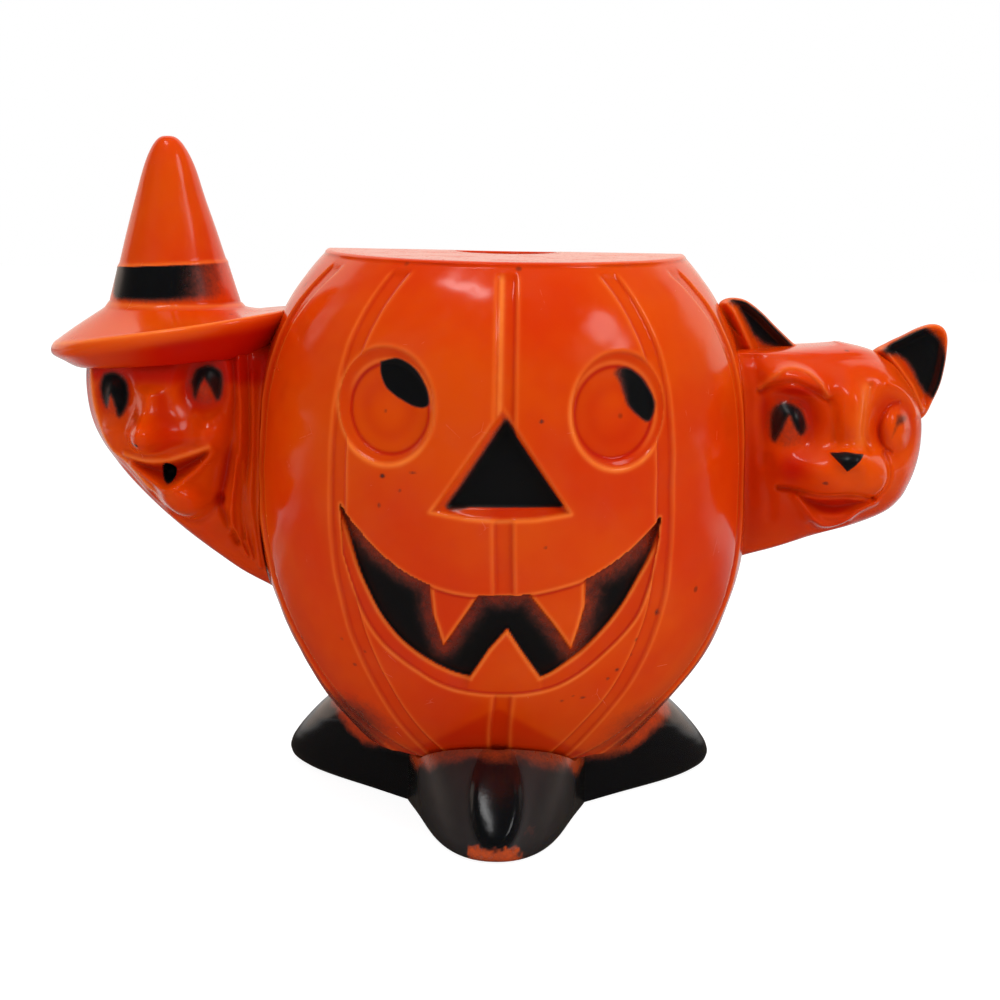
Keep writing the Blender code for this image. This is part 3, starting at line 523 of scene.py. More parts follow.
def channels(x, y, z):
    """How far each place is from the middle of the nearest channel, which lies along an upright
    plane, and how deep the channel is there: it has a flat floor and sloped sides."""
    nearest = np.abs(x - MIDDLE_CHANNEL_X)
    for turned, offset in CHANNELS:
        turned = math.radians(turned)
        along = np.abs(x) * math.cos(turned) - np.abs(y) * math.sin(turned)
        nearest = np.minimum(nearest, np.abs(along + offset))
    deep = step(CHANNEL_HALF + 0.22, CHANNEL_HALF - 0.22, nearest)
    return nearest, CHANNEL_DEPTH * deep * below_stop(z)


def below_stop(z):
    """1 up to where the channels run out under the rim, and 0 above."""
    return step(CHANNEL_STOP + 0.8, CHANNEL_STOP - 0.5, z)


SPECKS = (
    # x and z, half width and height, and how dark
    (-15.2, 50.0, 0.38, 0.34, 0.75), (-11.3, 50.7, 0.55, 0.20, 0.5), (-12.9, 48.3, 0.30, 0.30, 0.5),
    (-15.6, 46.2, 0.28, 0.40, 0.5), (4.9, 57.6, 0.30, 0.30, 0.6), (-15.0, 58.1, 0.30, 0.30, 0.4),
    (5.7, 41.6, 0.30, 0.26, 0.5), (17.8, 28.3, 0.34, 0.34, 0.55), (20.6, 31.8, 0.30, 0.45, 0.55),
    (15.3, 24.1, 0.36, 0.30, 0.6), (14.1, 22.9, 0.28, 0.28, 0.5), (17.3, 26.0, 0.28, 0.34, 0.45),
    (10.9, 20.2, 0.45, 0.24, 0.55), (8.2, 19.9, 0.30, 0.22, 0.5), (9.6, 20.6, 0.26, 0.22, 0.45),
    (-19.6, 23.4, 0.36, 0.30, 0.5), (-18.4, 25.6, 0.28, 0.28, 0.45),
    (-21.3, 27.0, 0.28, 0.34, 0.45),
)


def carving(x, z):
    """The carved face over the front: how deep it is, the paint on it, the painted shade in its
    hollows, and the painted highlights along its sharp edges."""
    deep, paint, painted_hollow_shade, edge = np.zeros((4, *x.shape))
    for outer_oval, inner_oval, pupil, fades in EYES:
        outer = inside_oval(x, z, *outer_oval)
        inner = inside_oval(x, z, *inner_oval)
        share = np.clip(outer / np.maximum(outer - inner, 0.05), 0.0, 1.0)
        bevel = 0.30 * step(0.0, 0.35, outer) + 0.75 * share * (outer > 0)
        dish = 1.30 + 0.10 * step(0.0, 3.0, inner)
        deep = most(deep, bevel + (dish - bevel) * step(-0.12, 0.12, inner))
        lens = inside_curve(x, z, pupil, 6)
        if fades:
            spray = 0.35 + 0.65 * step(-0.6, 1.8, (x - 15.0) * 0.8 + (z - 61.0) * 0.2)
            paint = most(paint, 1.05 * step(-0.6, 0.5, lens) * spray)
        else:
            paint = most(paint, 1.1 * step(-0.35, 0.4, lens))
        # painted shade on each eye's bevel and round its floor, and painted highlights along its
        # rims, brighter at the low left
        low_left = step(-2.5, 3.5, -(x - inner_oval[0]) * 0.6 - (z - inner_oval[1]) * 0.8)
        painted_hollow_shade = most(
            painted_hollow_shade,
            0.30 * step(-0.1, 0.4, outer) * step(0.5, -0.1, inner),
            0.75 * bell(inner - 0.05, 0.30),
            0.40 * step(0.0, 2.6, inner) * step(5.0, 1.5, inner),
        )
        edge = most(
            edge,
            (0.35 + 0.55 * low_left) * bell(outer + 0.05, 0.28),
            0.5 * (1 - low_left) * bell(inner + 0.45, 0.25),
        )

    outer = inside(x, z, NOSE)
    floor = inside(x, z, NOSE_FLOOR)
    share = np.clip(outer / np.maximum(outer - floor, 0.05), 0.0, 1.0) * (outer > 0)
    nose = 0.25 * step(0.0, 0.3, outer) + 1.1 * share
    deep = most(deep, nose + (DEPTH_OF_CARVING - nose) * step(-0.1, 0.2, floor))
    left_wall = step(2.4, 0.8, 0.84 * (x + 6.5) - 0.54 * (z - 46.5))
    paint = most(paint, 1.25 * step(-0.3 - 0.9 * left_wall, 0.25 + 0.5 * left_wall, floor))
    # painted shade on the nose's walls, more at the low right, and a painted highlight along its
    # rim
    low_right = step(56.0, 47.0, z) * step(-4.0, 0.0, x)
    painted_hollow_shade = most(painted_hollow_shade, step(0.0, 0.5, outer) * (0.25 + 0.3 * low_right))
    edge = most(edge, 0.8 * bell(outer + 0.05, 0.26) * (0.4 + 0.6 * step(48.5, 45.5, z)))

    top, low, right, left = (
        curved(marks, 3) for marks in (SMILE_TOP, SMILE_LOW, FLOOR_LOW_RIGHT, FLOOR_LOW_LEFT)
    )
    outer = inside(x, z, top + low)
    fangs = most(inside(x, z, LEFT_FANG), inside(x, z, RIGHT_FANG))
    teeth = most(fangs, inside(x, z, TOOTH))
    floor = np.minimum(inside(x, z, top + right + left), -teeth)
    from_lip = np.minimum(from_line(x, z, right), from_line(x, z, left))
    share = np.clip(outer / np.maximum(outer + from_lip, 0.05), 0.0, 1.0) * (outer > 0)
    lip = 0.30 * step(0.0, 0.3, outer) + 0.75 * share
    level = 0.34 * step(0.0, 0.35, outer) + 0.10 * step(0.5, 5.0, outer)
    side = lip + (level - lip) * step(-0.15, 0.1, teeth)
    smile = side + (DEPTH_OF_CARVING - side) * step(-0.2, 0.15, floor)
    deep = most(deep, np.where(outer > 0, smile, 0.0))
    from_mask = np.minimum(from_line(x, z, top), np.abs(fangs))
    spray = 0.46 + 0.64 * step(0.0, 4.6 + 1.6 * step(9.0, 18.0, x), from_mask)
    paint = most(paint, spray * step(-0.12, 0.12, floor))
    # painted shade on the smile's walls and inside its low lip, and painted highlights along its
    # rim and round its floor
    painted_hollow_shade = most(
        painted_hollow_shade,
        0.30 * step(0.0, 0.5, outer) * step(0.4, -0.2, teeth),
        0.8 * bell(outer - 0.25, 0.30) * step(44.0, 38.0, z),
    )
    edge = most(
        edge,
        0.7 * bell(outer + 0.08, 0.24),
        0.8 * bell(floor + 0.28, 0.24) * step(0.2, 0.6, outer),
    )
    for middle_x, middle_z, half_x, half_z, dark in SPECKS:
        away = np.hypot((x - middle_x) / half_x, (z - middle_z) / half_z)
        paint = most(paint, dark * bell(away, 1.0))
    return deep, paint, painted_hollow_shade, edge


def stretches(*parts):
    """Places along several stretches, each given by its start, its end and how many places it has.
    A stretch leaves its end to the next one."""
    last = len(parts) - 1
    return np.concatenate([np.linspace(*part, endpoint=i == last) for i, part in enumerate(parts)])


DECK_ROWS = 14
LINING_ROWS = 20


def pumpkin_half(turns, heights, face):
    """The grid of a half of the pumpkin's shell: the closed outline at a turn runs up the outside,
    over the rim and the deck, down the mouth, and along the inside to the hole in the floor.

    The turns are those from the front to the right, and are mirrored. At each place outside, the
    radius is the body's, less the channel's depth. On the front, y is drawn in so that the carved
    floor is the same depth under the round surface everywhere.
    """
    turns = np.concatenate([-turns[:0:-1], turns])[None, :]
    z = heights[:, None] + 0 * turns
    slope = np.gradient(body_radius(heights), heights)[:, None]
    radius = body_radius(z)
    x, y = radius * np.sin(turns), -radius * np.cos(turns)
    away, groove = channels(x, y, z)
    deep, paint, painted_hollow_shade, edge = carving(x, z) if face else np.zeros((4, *z.shape))
    uncarved = step(0.25, 0.0, deep)
    uneven = 0.045 * waver(x, y, z, 11.0, 21) + 0.02 * waver(x, y, z, 4.5, 22)
    radius = radius - SKIN_UNDER_CAD - groove * uncarved + uneven
    x, y = radius * np.sin(turns), -radius * np.cos(turns)
    sunk = radius - deep * np.sqrt(1 + slope**2)
    y = np.where(deep > 0, -np.sqrt(np.maximum(sunk**2 - x**2, 1.0)), y)
    x = x + 0.4 * step(14.5, 22.0, z) * step(46.0, 30.0, z)
    free = uncarved * below_stop(z)
    # painted shade inside the channels and at the foot of their walls, and painted highlights along
    # their rims
    in_groove = step(CHANNEL_HALF + 0.2, CHANNEL_HALF - 0.2, away)
    foot = 0.32 * bell(away - CHANNEL_HALF + 0.15, 0.30)
    painted_hollow_shade = most(painted_hollow_shade, free * (0.14 * in_groove + foot))
    edge = most(edge, 0.38 * free * bell(away - CHANNEL_HALF - 0.32, 0.26))
    if face:
        # a painted reflection down the left wall of the middle channel, and painted shade below the
        # chin
        edge = most(edge, 1.1 * free * bell(x + 0.4, 0.38) * step(50.0, 60.0, z))
        below_chin = step(1.1, -1.1, np.abs(x) - 1.35 * (19.2 - z)) * step(0.0, 0.8, 19.2 - z)
        painted_hollow_shade = most(painted_hollow_shade, 0.55 * below_chin)
    outside = np.stack([x, y, z], axis=-1)

    rim = float(body_radius(heights[-1]))
    bend = np.linspace(0, math.pi / 2, 7)[1:]
    over_radius = rim - RIM_EDGE * (1 - np.cos(bend) + 0.5 * np.sin(bend))
    over = list(zip(over_radius, RIM_HEIGHT - RIM_EDGE * (1 - np.sin(bend))))
    deck_radius = np.linspace(over_radius[-1], MOUTH_RADIUS + MOUTH_EDGE, DECK_ROWS)[1:]
    deck = [(radius, RIM_HEIGHT) for radius in deck_radius]
    mouth = [
        (MOUTH_RADIUS + 0.3 * MOUTH_EDGE, RIM_HEIGHT - 0.3 * MOUTH_EDGE),
        (MOUTH_RADIUS, RIM_HEIGHT - MOUTH_EDGE), (MOUTH_RADIUS, RIM_HEIGHT - BODY_WALL),
    ]
    low, high = FLOOR_HEIGHT + BODY_WALL, RIM_HEIGHT - BODY_WALL
    inner_z = (low + high) / 2 + (high - low) / 2 * np.cos(np.linspace(0, math.pi, LINING_ROWS))
    inner_slope = np.interp(inner_z, heights, slope[:, 0])
    inner = list(zip(body_radius(inner_z) - BODY_WALL * np.sqrt(1 + inner_slope**2), inner_z))
    hole = [(BOSS_RADIUS + SEAT_GAP, low), (BOSS_RADIUS + SEAT_GAP, FLOOR_HEIGHT)]
    rest = np.array(over + deck + mouth + inner + hole)
    around = swept(rest[:, :1], turns, rest[:, 1:])
    points = np.concatenate([outside, around])
    share = np.clip((points[..., 2] - RIM_HEIGHT) / 12.0 + 1.0, 0.0, 1.0)
    points[..., 2] -= np.abs(points[..., 1]) * DECK_FALL * share
    points[..., 1] = np.minimum(points[..., 1], 0.0)
    if not face:
        points[..., 1] *= -1
    spare = np.zeros(around.shape[:2])
    masks = {"paint": paint, "crease": painted_hollow_shade, "edge": edge}
    masks = {key: np.concatenate([mask, spare]) for key, mask in masks.items()}
    crisp = [len(heights) + len(over) + len(deck) + 2, -2, -1, 0]
    return points, masks, crisp


FACE_TURN = math.radians(41.5)
RIB_TURNS = math.radians(52.0), math.radians(76.0)
FACE_LOW, FACE_HIGH = 19.5, 67.5
BODY_TOP = RIM_HEIGHT - RIM_EDGE

front_turns = stretches(
    (0, FACE_TURN, 92), (FACE_TURN, RIB_TURNS[0], 8), (*RIB_TURNS, 46),
    (RIB_TURNS[1], math.pi / 2, 12),
)
front_heights = stretches(
    (FLOOR_HEIGHT, FACE_LOW, 26), (FACE_LOW, FACE_HIGH, 216), (FACE_HIGH, BODY_TOP, 26)
)
points, masks, crisp = pumpkin_half(front_turns, front_heights, True)
x, y, z = np.moveaxis(points, -1, 0)

# thin overspray from the base, beside the toes and over the front one
near_toe = np.hypot((np.abs(x) - 21.0) / 9.0, (z - 13.5) / 6.0)
drift = (0.36 + 0.14 * (x < 0)) * step(1.15, 0.2, near_toe) * step(-1.0, -11.0, y)
drift = drift + 0.2 * step(12.5, 10.0, z) * step(2.0, 5.0, np.abs(x))
masks["paint"] = most(masks["paint"], drift * (z < 30))
front_plastic = sprayed_plastic("glossy_orange_front", 0.36, 0.13)
front_shell = moulding("pumpkin_front_half", points, masks, front_plastic, "rows", crisp)
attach(front_shell, "root")
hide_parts("pumpkin_front_shell")

# The pumpkin's back shell: the other half of the ball, cemented to the front one along the seam. It
# has the channels and no carving, and thin black overspray beside the side toes.
MIDDLE_TURN = math.radians(3.2)
INNER_RIB_TURNS = math.radians(26.0), math.radians(41.0)

back_turns = stretches(
    (0, MIDDLE_TURN, 12), (MIDDLE_TURN, INNER_RIB_TURNS[0], 12), (*INNER_RIB_TURNS, 30),
    (INNER_RIB_TURNS[1], RIB_TURNS[0], 7), (*RIB_TURNS, 46), (RIB_TURNS[1], math.pi / 2, 12),
)
back_heights = stretches((FLOOR_HEIGHT, FACE_HIGH, 90), (FACE_HIGH, BODY_TOP, 24))
points, masks, crisp = pumpkin_half(back_turns, back_heights, False)
x, y, z = np.moveaxis(points, -1, 0)
near_toe = np.hypot((np.abs(x) - 21.0) / 10.0, (z - 13.5) / 6.5)
masks["paint"] = 0.42 * step(1.1, 0.2, near_toe) * (z < 30) * step(1.0, 11.0, y)
back_plastic = sprayed_plastic("glossy_orange_back", 0.36, 0.13)
back_shell = moulding("pumpkin_back_half", points, masks, back_plastic, "rows", crisp)
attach(back_shell, "root")
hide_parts("pumpkin_back_shell")

# The witch's head: two hollow shells of the same glossy orange plastic, cemented along the middle
# and pegged to the pumpkin's side. The face and the hair beside it are moulded in, and the eyes and
# the hole of the mouth are sprayed black through a mask.
HEAD_WALL = 1.6
HEAD_POWER = 2 / 2.2
HEAD_SUNK = 0.23
FLARE = 0.9
FLARE_LENGTH = 0.7
FACE_LINING = 0.78
PEG_DEPTH = 5.0
PUMPKIN_TOP = 79.0
SECTION_STEPS = 500
BACK_GRID = 120, 80
WITCH_FACE_GRID = 320, 230
HAT_X = -46.5
HAT_BASE_RADIUS = 9.2
HAT_BASE_HEIGHT = 69.7
HAT_TOP_HEIGHT = 93.0
HAT_TIP_RADIUS = 3.1
HAT_LEAN = math.radians(2.2)
HAT_WALL = 1.4
WITCH_MIDDLE = -47.2
WITCH_SECTIONS = np.array([
    (29.6, -33.0, 1.5, 1.5), (31.8, -36.8, 4.2, 4.0), (34.5, -40.6, 6.2, 6.2),
    (37.5, -44.6, 7.6, 8.2), (40.0, -47.5, 9.0, 9.6), (43.0, -50.4, 11.6, 10.8),
    (47.0, -54.0, 12.8, 12.0), (52.0, -57.4, 13.0, 12.8), (57.5, -58.8, 12.6, 13.0),
    (62.0, -58.6, 12.0, 12.4), (69.7, -54.2, 7.5, 7.5), (88.0, -49.6, 2.2, 2.2),
])
WITCH_MOUNDS = (
    # middle x and z, half width and height, turn in degrees, height, and how flat the top is
    (-53.4, 57.9, 2.7, 3.7, -5, -3.0, 1.8), (-53.4, 57.5, 1.75, 2.6, -5, 2.2, 1.3),
    (-41.0, 59.1, 3.2, 3.9, 5, -3.0, 1.8), (-40.8, 59.2, 2.0, 2.8, 5, 2.4, 1.3),
    (-48.7, 52.6, 2.3, 2.1, 0, 1.5, 2.0), (-39.4, 52.8, 2.3, 2.2, 0, 2.5, 1.6),
    (-43.0, 52.6, 2.2, 1.5, -50, 0.5, 1.2), (-53.6, 52.0, 2.1, 3.0, -24, 1.5, 1.5),
    (-43.6, 43.3, 3.3, 2.5, -14, 3.2, 2.0), (-46.4, 50.0, 5.4, 1.0, 4, 1.0, 1.4),
    (-45.4, 46.4, 4.4, 2.6, 0, 0.5, 1.2), (-38.6, 47.0, 1.9, 4.6, -8, -0.9, 1.4),
)
WITCH_LINES = (
    # a line's marks, its half width and its height; below 0 it is a groove
    ([(-51.6, 49.6), (-48.5, 49.0), (-45.3, 49.2), (-42.5, 50.1), (-39.8, 51.1)], 0.5, 0.8),
    ([(-50.6, 48.2), (-47.3, 45.8), (-45.7, 45.1), (-43.3, 46.3), (-40.8, 48.5),
        (-39.2, 50.3)], 0.6, 1.1),
    ([(-48.2, 44.0), (-46.6, 42.3), (-45.3, 40.7), (-43.3, 40.0), (-40.9, 41.2),
        (-38.9, 43.6)], 0.7, -1.2),
    ([(-57.2, 60.9), (-56.8, 57.3), (-56.1, 54.5), (-55.1, 52.1), (-53.7, 49.9), (-51.9, 48.7),
        (-50.1, 46.9), (-48.1, 44.5), (-46.5, 42.5)], 0.4, 0.5),
    ([(-58.1, 60.5), (-57.8, 57.0), (-57.1, 54.0), (-56.1, 51.3), (-54.6, 48.8), (-52.8, 47.6),
        (-50.9, 45.7), (-49.0, 43.3), (-47.2, 41.3)], 0.5, -0.7),
    ([(-41.9, 55.5), (-40.4, 54.5), (-38.6, 55.4)], 0.35, 0.45),
    ([(-37.2, 62.9), (-36.8, 58.9), (-37.0, 54.8), (-37.4, 50.8), (-38.1, 46.7), (-38.7, 43.4),
        (-38.2, 40.5), (-36.8, 37.0)], 0.55, -0.9),
    ([(-36.4, 63.3), (-36.2, 58.9), (-35.9, 56.5), (-35.9, 50.8), (-36.9, 44.7),
        (-37.7, 38.6)], 0.45, 0.9),
    ([(-35.3, 63.3), (-35.0, 58.9), (-34.9, 54.5), (-34.9, 49.8), (-35.7, 43.7),
        (-35.9, 37.6)], 0.35, -0.7),
    ([(-34.4, 60.7), (-34.3, 54.9), (-34.4, 46.8), (-34.6, 41.5), (-33.8, 33.3)], 0.45, 0.7),
    ([(-36.5, 49.5), (-36.6, 46.5), (-36.9, 43.0), (-37.1, 39.0), (-35.6, 35.0)], 0.25, 0.5),
    ([(-35.4, 48.5), (-35.5, 45.0), (-35.8, 41.0), (-35.6, 38.0), (-34.8, 34.5)], 0.25, 0.5),
)
NOSE_RIDGE = np.array([
    # height up the face, x of the ridge, half width on its left and right, and how far out it is
    (49.9, -48.7, 1.2, 1.2, 0.0), (50.6, -48.7, 2.0, 3.0, 2.3), (51.6, -48.7, 2.4, 5.2, 4.3),
    (52.8, -48.7, 2.5, 5.4, 5.0), (54.2, -48.5, 2.2, 4.6, 4.3), (55.6, -48.3, 1.9, 3.4, 3.0),
    (57.2, -48.0, 2.0, 2.5, 2.2), (58.2, -47.9, 2.2, 2.2, 1.8), (59.0, -47.8, 2.6, 2.4, 0.4),
    (60.4, -47.8, 2.6, 2.6, 0.0),
])
WITCH_MOUTH = [
    (-51.0, 49.2), (-48.5, 48.6), (-45.3, 48.7), (-42.5, 49.6), (-40.0, 50.5), (-40.9, 48.9),
    (-43.3, 46.8), (-45.6, 45.6), (-47.3, 46.2), (-50.1, 48.1),
]
WITCH_HOLE = (-45.6, 47.3, 0.95, 1.45)
WITCH_PUPILS = (
    [(-55.6, 58.5), (-55.0, 60.2), (-53.2, 60.5), (-51.7, 59.4), (-51.3, 57.0), (-52.0, 55.2),
        (-52.7, 54.9), (-53.8, 57.6), (-54.5, 55.8), (-55.2, 56.9)],
    [(-42.6, 59.6), (-42.0, 61.2), (-40.4, 61.8), (-38.8, 61.0), (-38.6, 58.8), (-39.2, 57.2),
        (-40.8, 60.2), (-42.1, 57.4)],
)
# ovals of brown haze round the eyes: partly thin overspray, partly painted shade in the sockets
WITCH_HAZE_AND_SHADE = (-53.5, 57.9, 3.0, 4.0), (-40.9, 59.5, 3.2, 4.0)


def hat_radius(z):
    """The cone's radius at a height on its straight side."""
    fall = (HAT_BASE_RADIUS - HAT_TIP_RADIUS) / (HAT_TOP_HEIGHT - HAT_TIP_RADIUS - HAT_BASE_HEIGHT)
    return HAT_BASE_RADIUS - (z - HAT_BASE_HEIGHT) * fall


def bumps(x, z, mounds, lines):
    """How far a face stands out at a place: mounds that fall as exp(-q^(2 flat)) with the distance
    q from the middle in half sizes, and lines that fall as exp(-(distance / half width)^2)."""
    total = np.zeros(x.shape)
    for mx, mz, half_x, half_z, turned, rise, flat in mounds:
        c, s = math.cos(math.radians(turned)), math.sin(math.radians(turned))
        a, b = (x - mx) * c + (z - mz) * s, (z - mz) * c - (x - mx) * s
        total += rise * np.exp(-(((a / half_x) ** 2 + (b / half_z) ** 2) ** flat))
    for marks, half, rise in lines:
        total += rise * bell(from_line(x, z, curved(marks, 4)), half)
    return total


def head_half(sections, side, middle, crown, face, levels, around, relief):
    """The grid of a half of a head: at each height a C round the front or back, out and in again.

    The section is the rounded box |across|^2.2 + |deep|^2.2 = 1 from the outer side round to the
    pumpkin's side, where it stops. Its size at each height is a smooth curve through the sections,
    and its middle lies 40 to 60 hundredths of the way in. `crown` gives where the pumpkin's side
    would be at a height, and `relief` what the front's features add at (x, z), and the masks there.
    """
    low, high = sections[0, 0], sections[-1, 0]
    turns = np.linspace(0, math.pi, SECTION_STEPS)
    across = np.sign(np.cos(turns)) * np.abs(np.cos(turns)) ** HEAD_POWER
    deep = np.abs(np.sin(turns)) ** HEAD_POWER
    reaches = sections[:, 2 if face else 3]
    skins = []
    for inset in (0.0, HEAD_WALL):
        z = (low + high) / 2 - ((high - low) / 2 - inset) * np.cos(np.linspace(0, math.pi, levels))
        outer = between(sections[:, 0], sections[:, 1], z) - side * inset
        reach = np.maximum(between(sections[:, 0], reaches, z) - inset, 0.3)
        if inset and face:
            reach = np.maximum(reach * FACE_LINING, 0.3)
        root = crown(z, inset)
        width = side * np.minimum(side * (root - outer), -0.3)
        centre = outer + np.clip((middle - outer) / width, 0.40, 0.60) * width
        far, near = np.abs(outer - centre)[:, None], np.abs(root - centre)[:, None]
        x = centre[:, None] + side * np.where(across > 0, far, near) * across
        y = reach[:, None] * deep
        clear = body_radius(np.minimum(z, PUMPKIN_TOP))[:, None] - HEAD_SUNK
        out = np.hypot(x, y) >= clear - CHANNEL_DEPTH
        end = np.where(out.all(axis=1), len(turns) - 1, np.maximum(np.argmin(out, axis=1), 1))
        count = max(24, around // 6) if inset else around
        share = np.linspace(0, 1, count)[None, :] * end[:, None]
        i = np.clip(share.astype(int), 0, len(turns) - 2)
        t = share - i
        x = np.take_along_axis(x, i, 1) * (1 - t) + np.take_along_axis(x, i + 1, 1) * t
        y = np.take_along_axis(y, i, 1) * (1 - t) + np.take_along_axis(y, i + 1, 1) * t
        z = z[:, None] + 0 * x
        if not inset:
            added, *found = relief(x, z)
            y = y + added * (deep[i] * (1 - t) + deep[i + 1] * t) ** 1.2
            apart = np.maximum(np.hypot(x, y) - clear, 0.0)
            y = y + FLARE * np.exp(-apart / FLARE_LENGTH) * step(0.0, 3.0, y)
        y = np.maximum(y, 0.0)
        limit = np.sqrt(np.maximum((clear - channels(x, y, z)[1]) ** 2 - y**2, 0.0))
        x = side * np.maximum(side * x, limit * (z < PUMPKIN_TOP))
        skins.append(np.stack([x, -y if face else y, z], axis=-1))
    skin, lining = skins
    points = np.concatenate([skin, lining[:, ::-1]], axis=1)
    for end in (0, -1):
        points[end, :around] = points[end, :around].mean(axis=0)
        points[end, around:] = points[end, around:].mean(axis=0)
        points[end, :, 1] = 0.0
    spare = 0 * lining[..., 0]
    keys = ("paint", "crease", "edge")
    masks = {key: np.concatenate([mask, spare], axis=1) for key, mask in zip(keys, found)}
    return points, masks, (0, around - 1, around, -1)


def peg_end(inset):
    """How far from the pumpkin's middle a head ends, inside the pumpkin's wall."""
    return BELLY_RADIUS - PEG_DEPTH - 2 * inset


def witch_crown(z, inset):
    """The head's pumpkin side: inside the pumpkin below, and the crown under the hat above."""
    middle = HAT_X - math.tan(HAT_LEAN) * np.maximum(z - HAT_BASE_HEIGHT, 0.0)
    crown = np.maximum(middle + hat_radius(z) - HAT_WALL - 0.3, HAT_X)
    share = step(62.0, HAT_BASE_HEIGHT, z + inset)
    return -peg_end(inset) * (1 - share) + (crown - inset) * share


def witch_face(x, z):
    """What the witch's features add to the front, and its paint, its painted shade and its painted
    highlights.
    """
    ridge, left, right, stand = (between(NOSE_RIDGE[:, 0], size, z) for size in NOSE_RIDGE.T[1:])
    stand = np.maximum(stand, 0.0) * ((z > NOSE_RIDGE[0, 0]) & (z < NOSE_RIDGE[-1, 0]))
    aside = np.abs(x - ridge) / np.where(x < ridge, left, right)
    nose = stand * (0.7 * np.exp(-((1.25 * aside) ** 2.2)) + 0.3 * np.clip(1 - aside, 0.0, 1.0))
    mouth = inside_curve(x, z, WITCH_MOUTH)
    hole = inside_oval(x, z, *WITCH_HOLE)
    added = bumps(x, z, WITCH_MOUNDS, WITCH_LINES) + nose
    added = added - 2.0 * step(-0.3, 1.3, mouth) - 1.2 * step(-0.1, 0.4, hole)
    added = (added + 0.05 * waver(x, 0 * x, z, 4.0, 31)) * step(66.0, 63.0, z)
    pupils = most(*(step(-0.9, 0.9, inside_curve(x, z, marks)) for marks in WITCH_PUPILS))
    # the brown haze round the eyes is partly thin overspray and partly painted shade in the sockets
    haze_and_shade = most(*(inside_oval(x, z, *oval) for oval in WITCH_HAZE_AND_SHADE))
    nostril = np.hypot(x + 49.3, (z - 51.7) * 1.6) + 0.25 * waver(x, 0 * x, z, 0.9, 33)
    paint = most(
        1.05 * pupils,
        0.30 * step(-0.8, 1.8, haze_and_shade),
        1.25 * step(-0.15, 0.25, hole),
        0.75 * step(0.55, 0.1, nostril),
    )
    # painted shade: in hollows, in the mouth, on the nose's right side, the brim's shadow on the
    # forehead, and under the chin
    beside_nose = step(-0.5, 1.0, x - ridge) * step(0.5, 2.0, stand)
    crease = most(
        np.clip(-added * 0.45, 0.0, 0.8),
        0.7 * step(-0.4, 0.8, mouth),
        0.62 * bell(aside - 0.7, 0.5) * beside_nose,
        0.85 * step(57.8, 60.5, z) * step(66.0, 62.5, z),
        0.35 * step(42.0, 38.0, z),
    )
    # painted highlights along the face's left contour and along the upper lip
    edge = most(
        0.8 * bell(from_line(x, z, WITCH_LINES[3][0]), 0.35),
        0.6 * bell(from_line(x, z, WITCH_LINES[0][0]), 0.35),
    )
    return added, paint, crease, edge


def plain_back(x, z):
    """The back of a head has no features and no paint."""
    return np.zeros((4, *x.shape))


witch = (WITCH_SECTIONS, -1, WITCH_MIDDLE, witch_crown)
witch_plastic = sprayed_plastic("glossy_orange_witch", 0.30, 0.13)
points, masks, crisp = head_half(*witch, True, *WITCH_FACE_GRID, witch_face)
witch_front = moulding("witch_face_half", points, masks, witch_plastic, "columns", (), crisp)
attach(witch_front, "root")
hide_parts("witch_head_front_shell")
points, masks, crisp = head_half(*witch, False, *BACK_GRID, plain_back)
witch_back = moulding("witch_back_half", points, masks, witch_plastic, "columns", (), crisp)
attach(witch_back, "root")
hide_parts("witch_head_back_shell")

# The witch's hat: a hollow leaning cone of glossy orange plastic with a thick drooping brim. It is
# pressed over her crown. Its band is a raised strip, sprayed black in front, thinly at the right.
CONE_FALL = 0.294
CONE_ROWS = 140
TIP_START = 86.0
TIP_POWER = 3.2
BRIM_ROWS = 24
BRIM_RADIUS = 17.3
BRIM_DROOP = 3.0
BRIM_TILT = math.tan(math.radians(9.5))
BRIM_EDGE = [
    (16.62, 66.94), (16.95, 66.76), (17.2, 66.44), (17.3, 66.0), (17.22, 65.55), (17.0, 65.15),
    (16.7, 64.8), (16.35, 64.45), (16.0, 64.12), (15.5, 63.65), (15.0, 63.15), (14.5, 62.68),
    (14.0, 62.25), (13.6, 62.0), (13.2, 61.95), (12.9, 62.1), (12.75, 62.5), (12.7, 64.0),
    (12.5, 65.2), (11.4, 66.9), (9.6, 68.4), (8.4, 69.7),
]
BAND_LOW, BAND_HIGH = 70.3, 75.4
BAND_RADIUS = 9.0
MOULD_LINE_TURN = 4.86
HAT_COLUMNS = 240

share = (1 - np.cos(np.linspace(0, math.pi / 2, CONE_ROWS))) ** 0.9
rise = HAT_TOP_HEIGHT - (HAT_TOP_HEIGHT - HAT_BASE_HEIGHT - 0.4) * share
tip = np.clip((rise - TIP_START) / (HAT_TOP_HEIGHT - TIP_START), 0.0, 1.0)
tip = (1 - tip**TIP_POWER) ** (1 / TIP_POWER)
cone = list(zip((HAT_BASE_RADIUS - CONE_FALL * (rise - HAT_BASE_HEIGHT)) * tip, rise))
cone.append((HAT_BASE_RADIUS + 0.25, HAT_BASE_HEIGHT + 0.1))
share = np.linspace(0.08, 0.88, BRIM_ROWS)
brim_radius = HAT_BASE_RADIUS + share * (BRIM_RADIUS - HAT_BASE_RADIUS)
brim = list(zip(brim_radius, HAT_BASE_HEIGHT - BRIM_DROOP * share**0.76)) + BRIM_EDGE
lining = [(hat_radius(z) - HAT_WALL, z) for z in np.linspace(71.0, 87.0, 12)]
profile = np.array(cone + brim + lining + [(1.4, 88.1), (0.0, 88.3)])
row = np.arange(len(profile))[:, None]
on_cone, outside = row < len(cone), row < len(cone + brim)

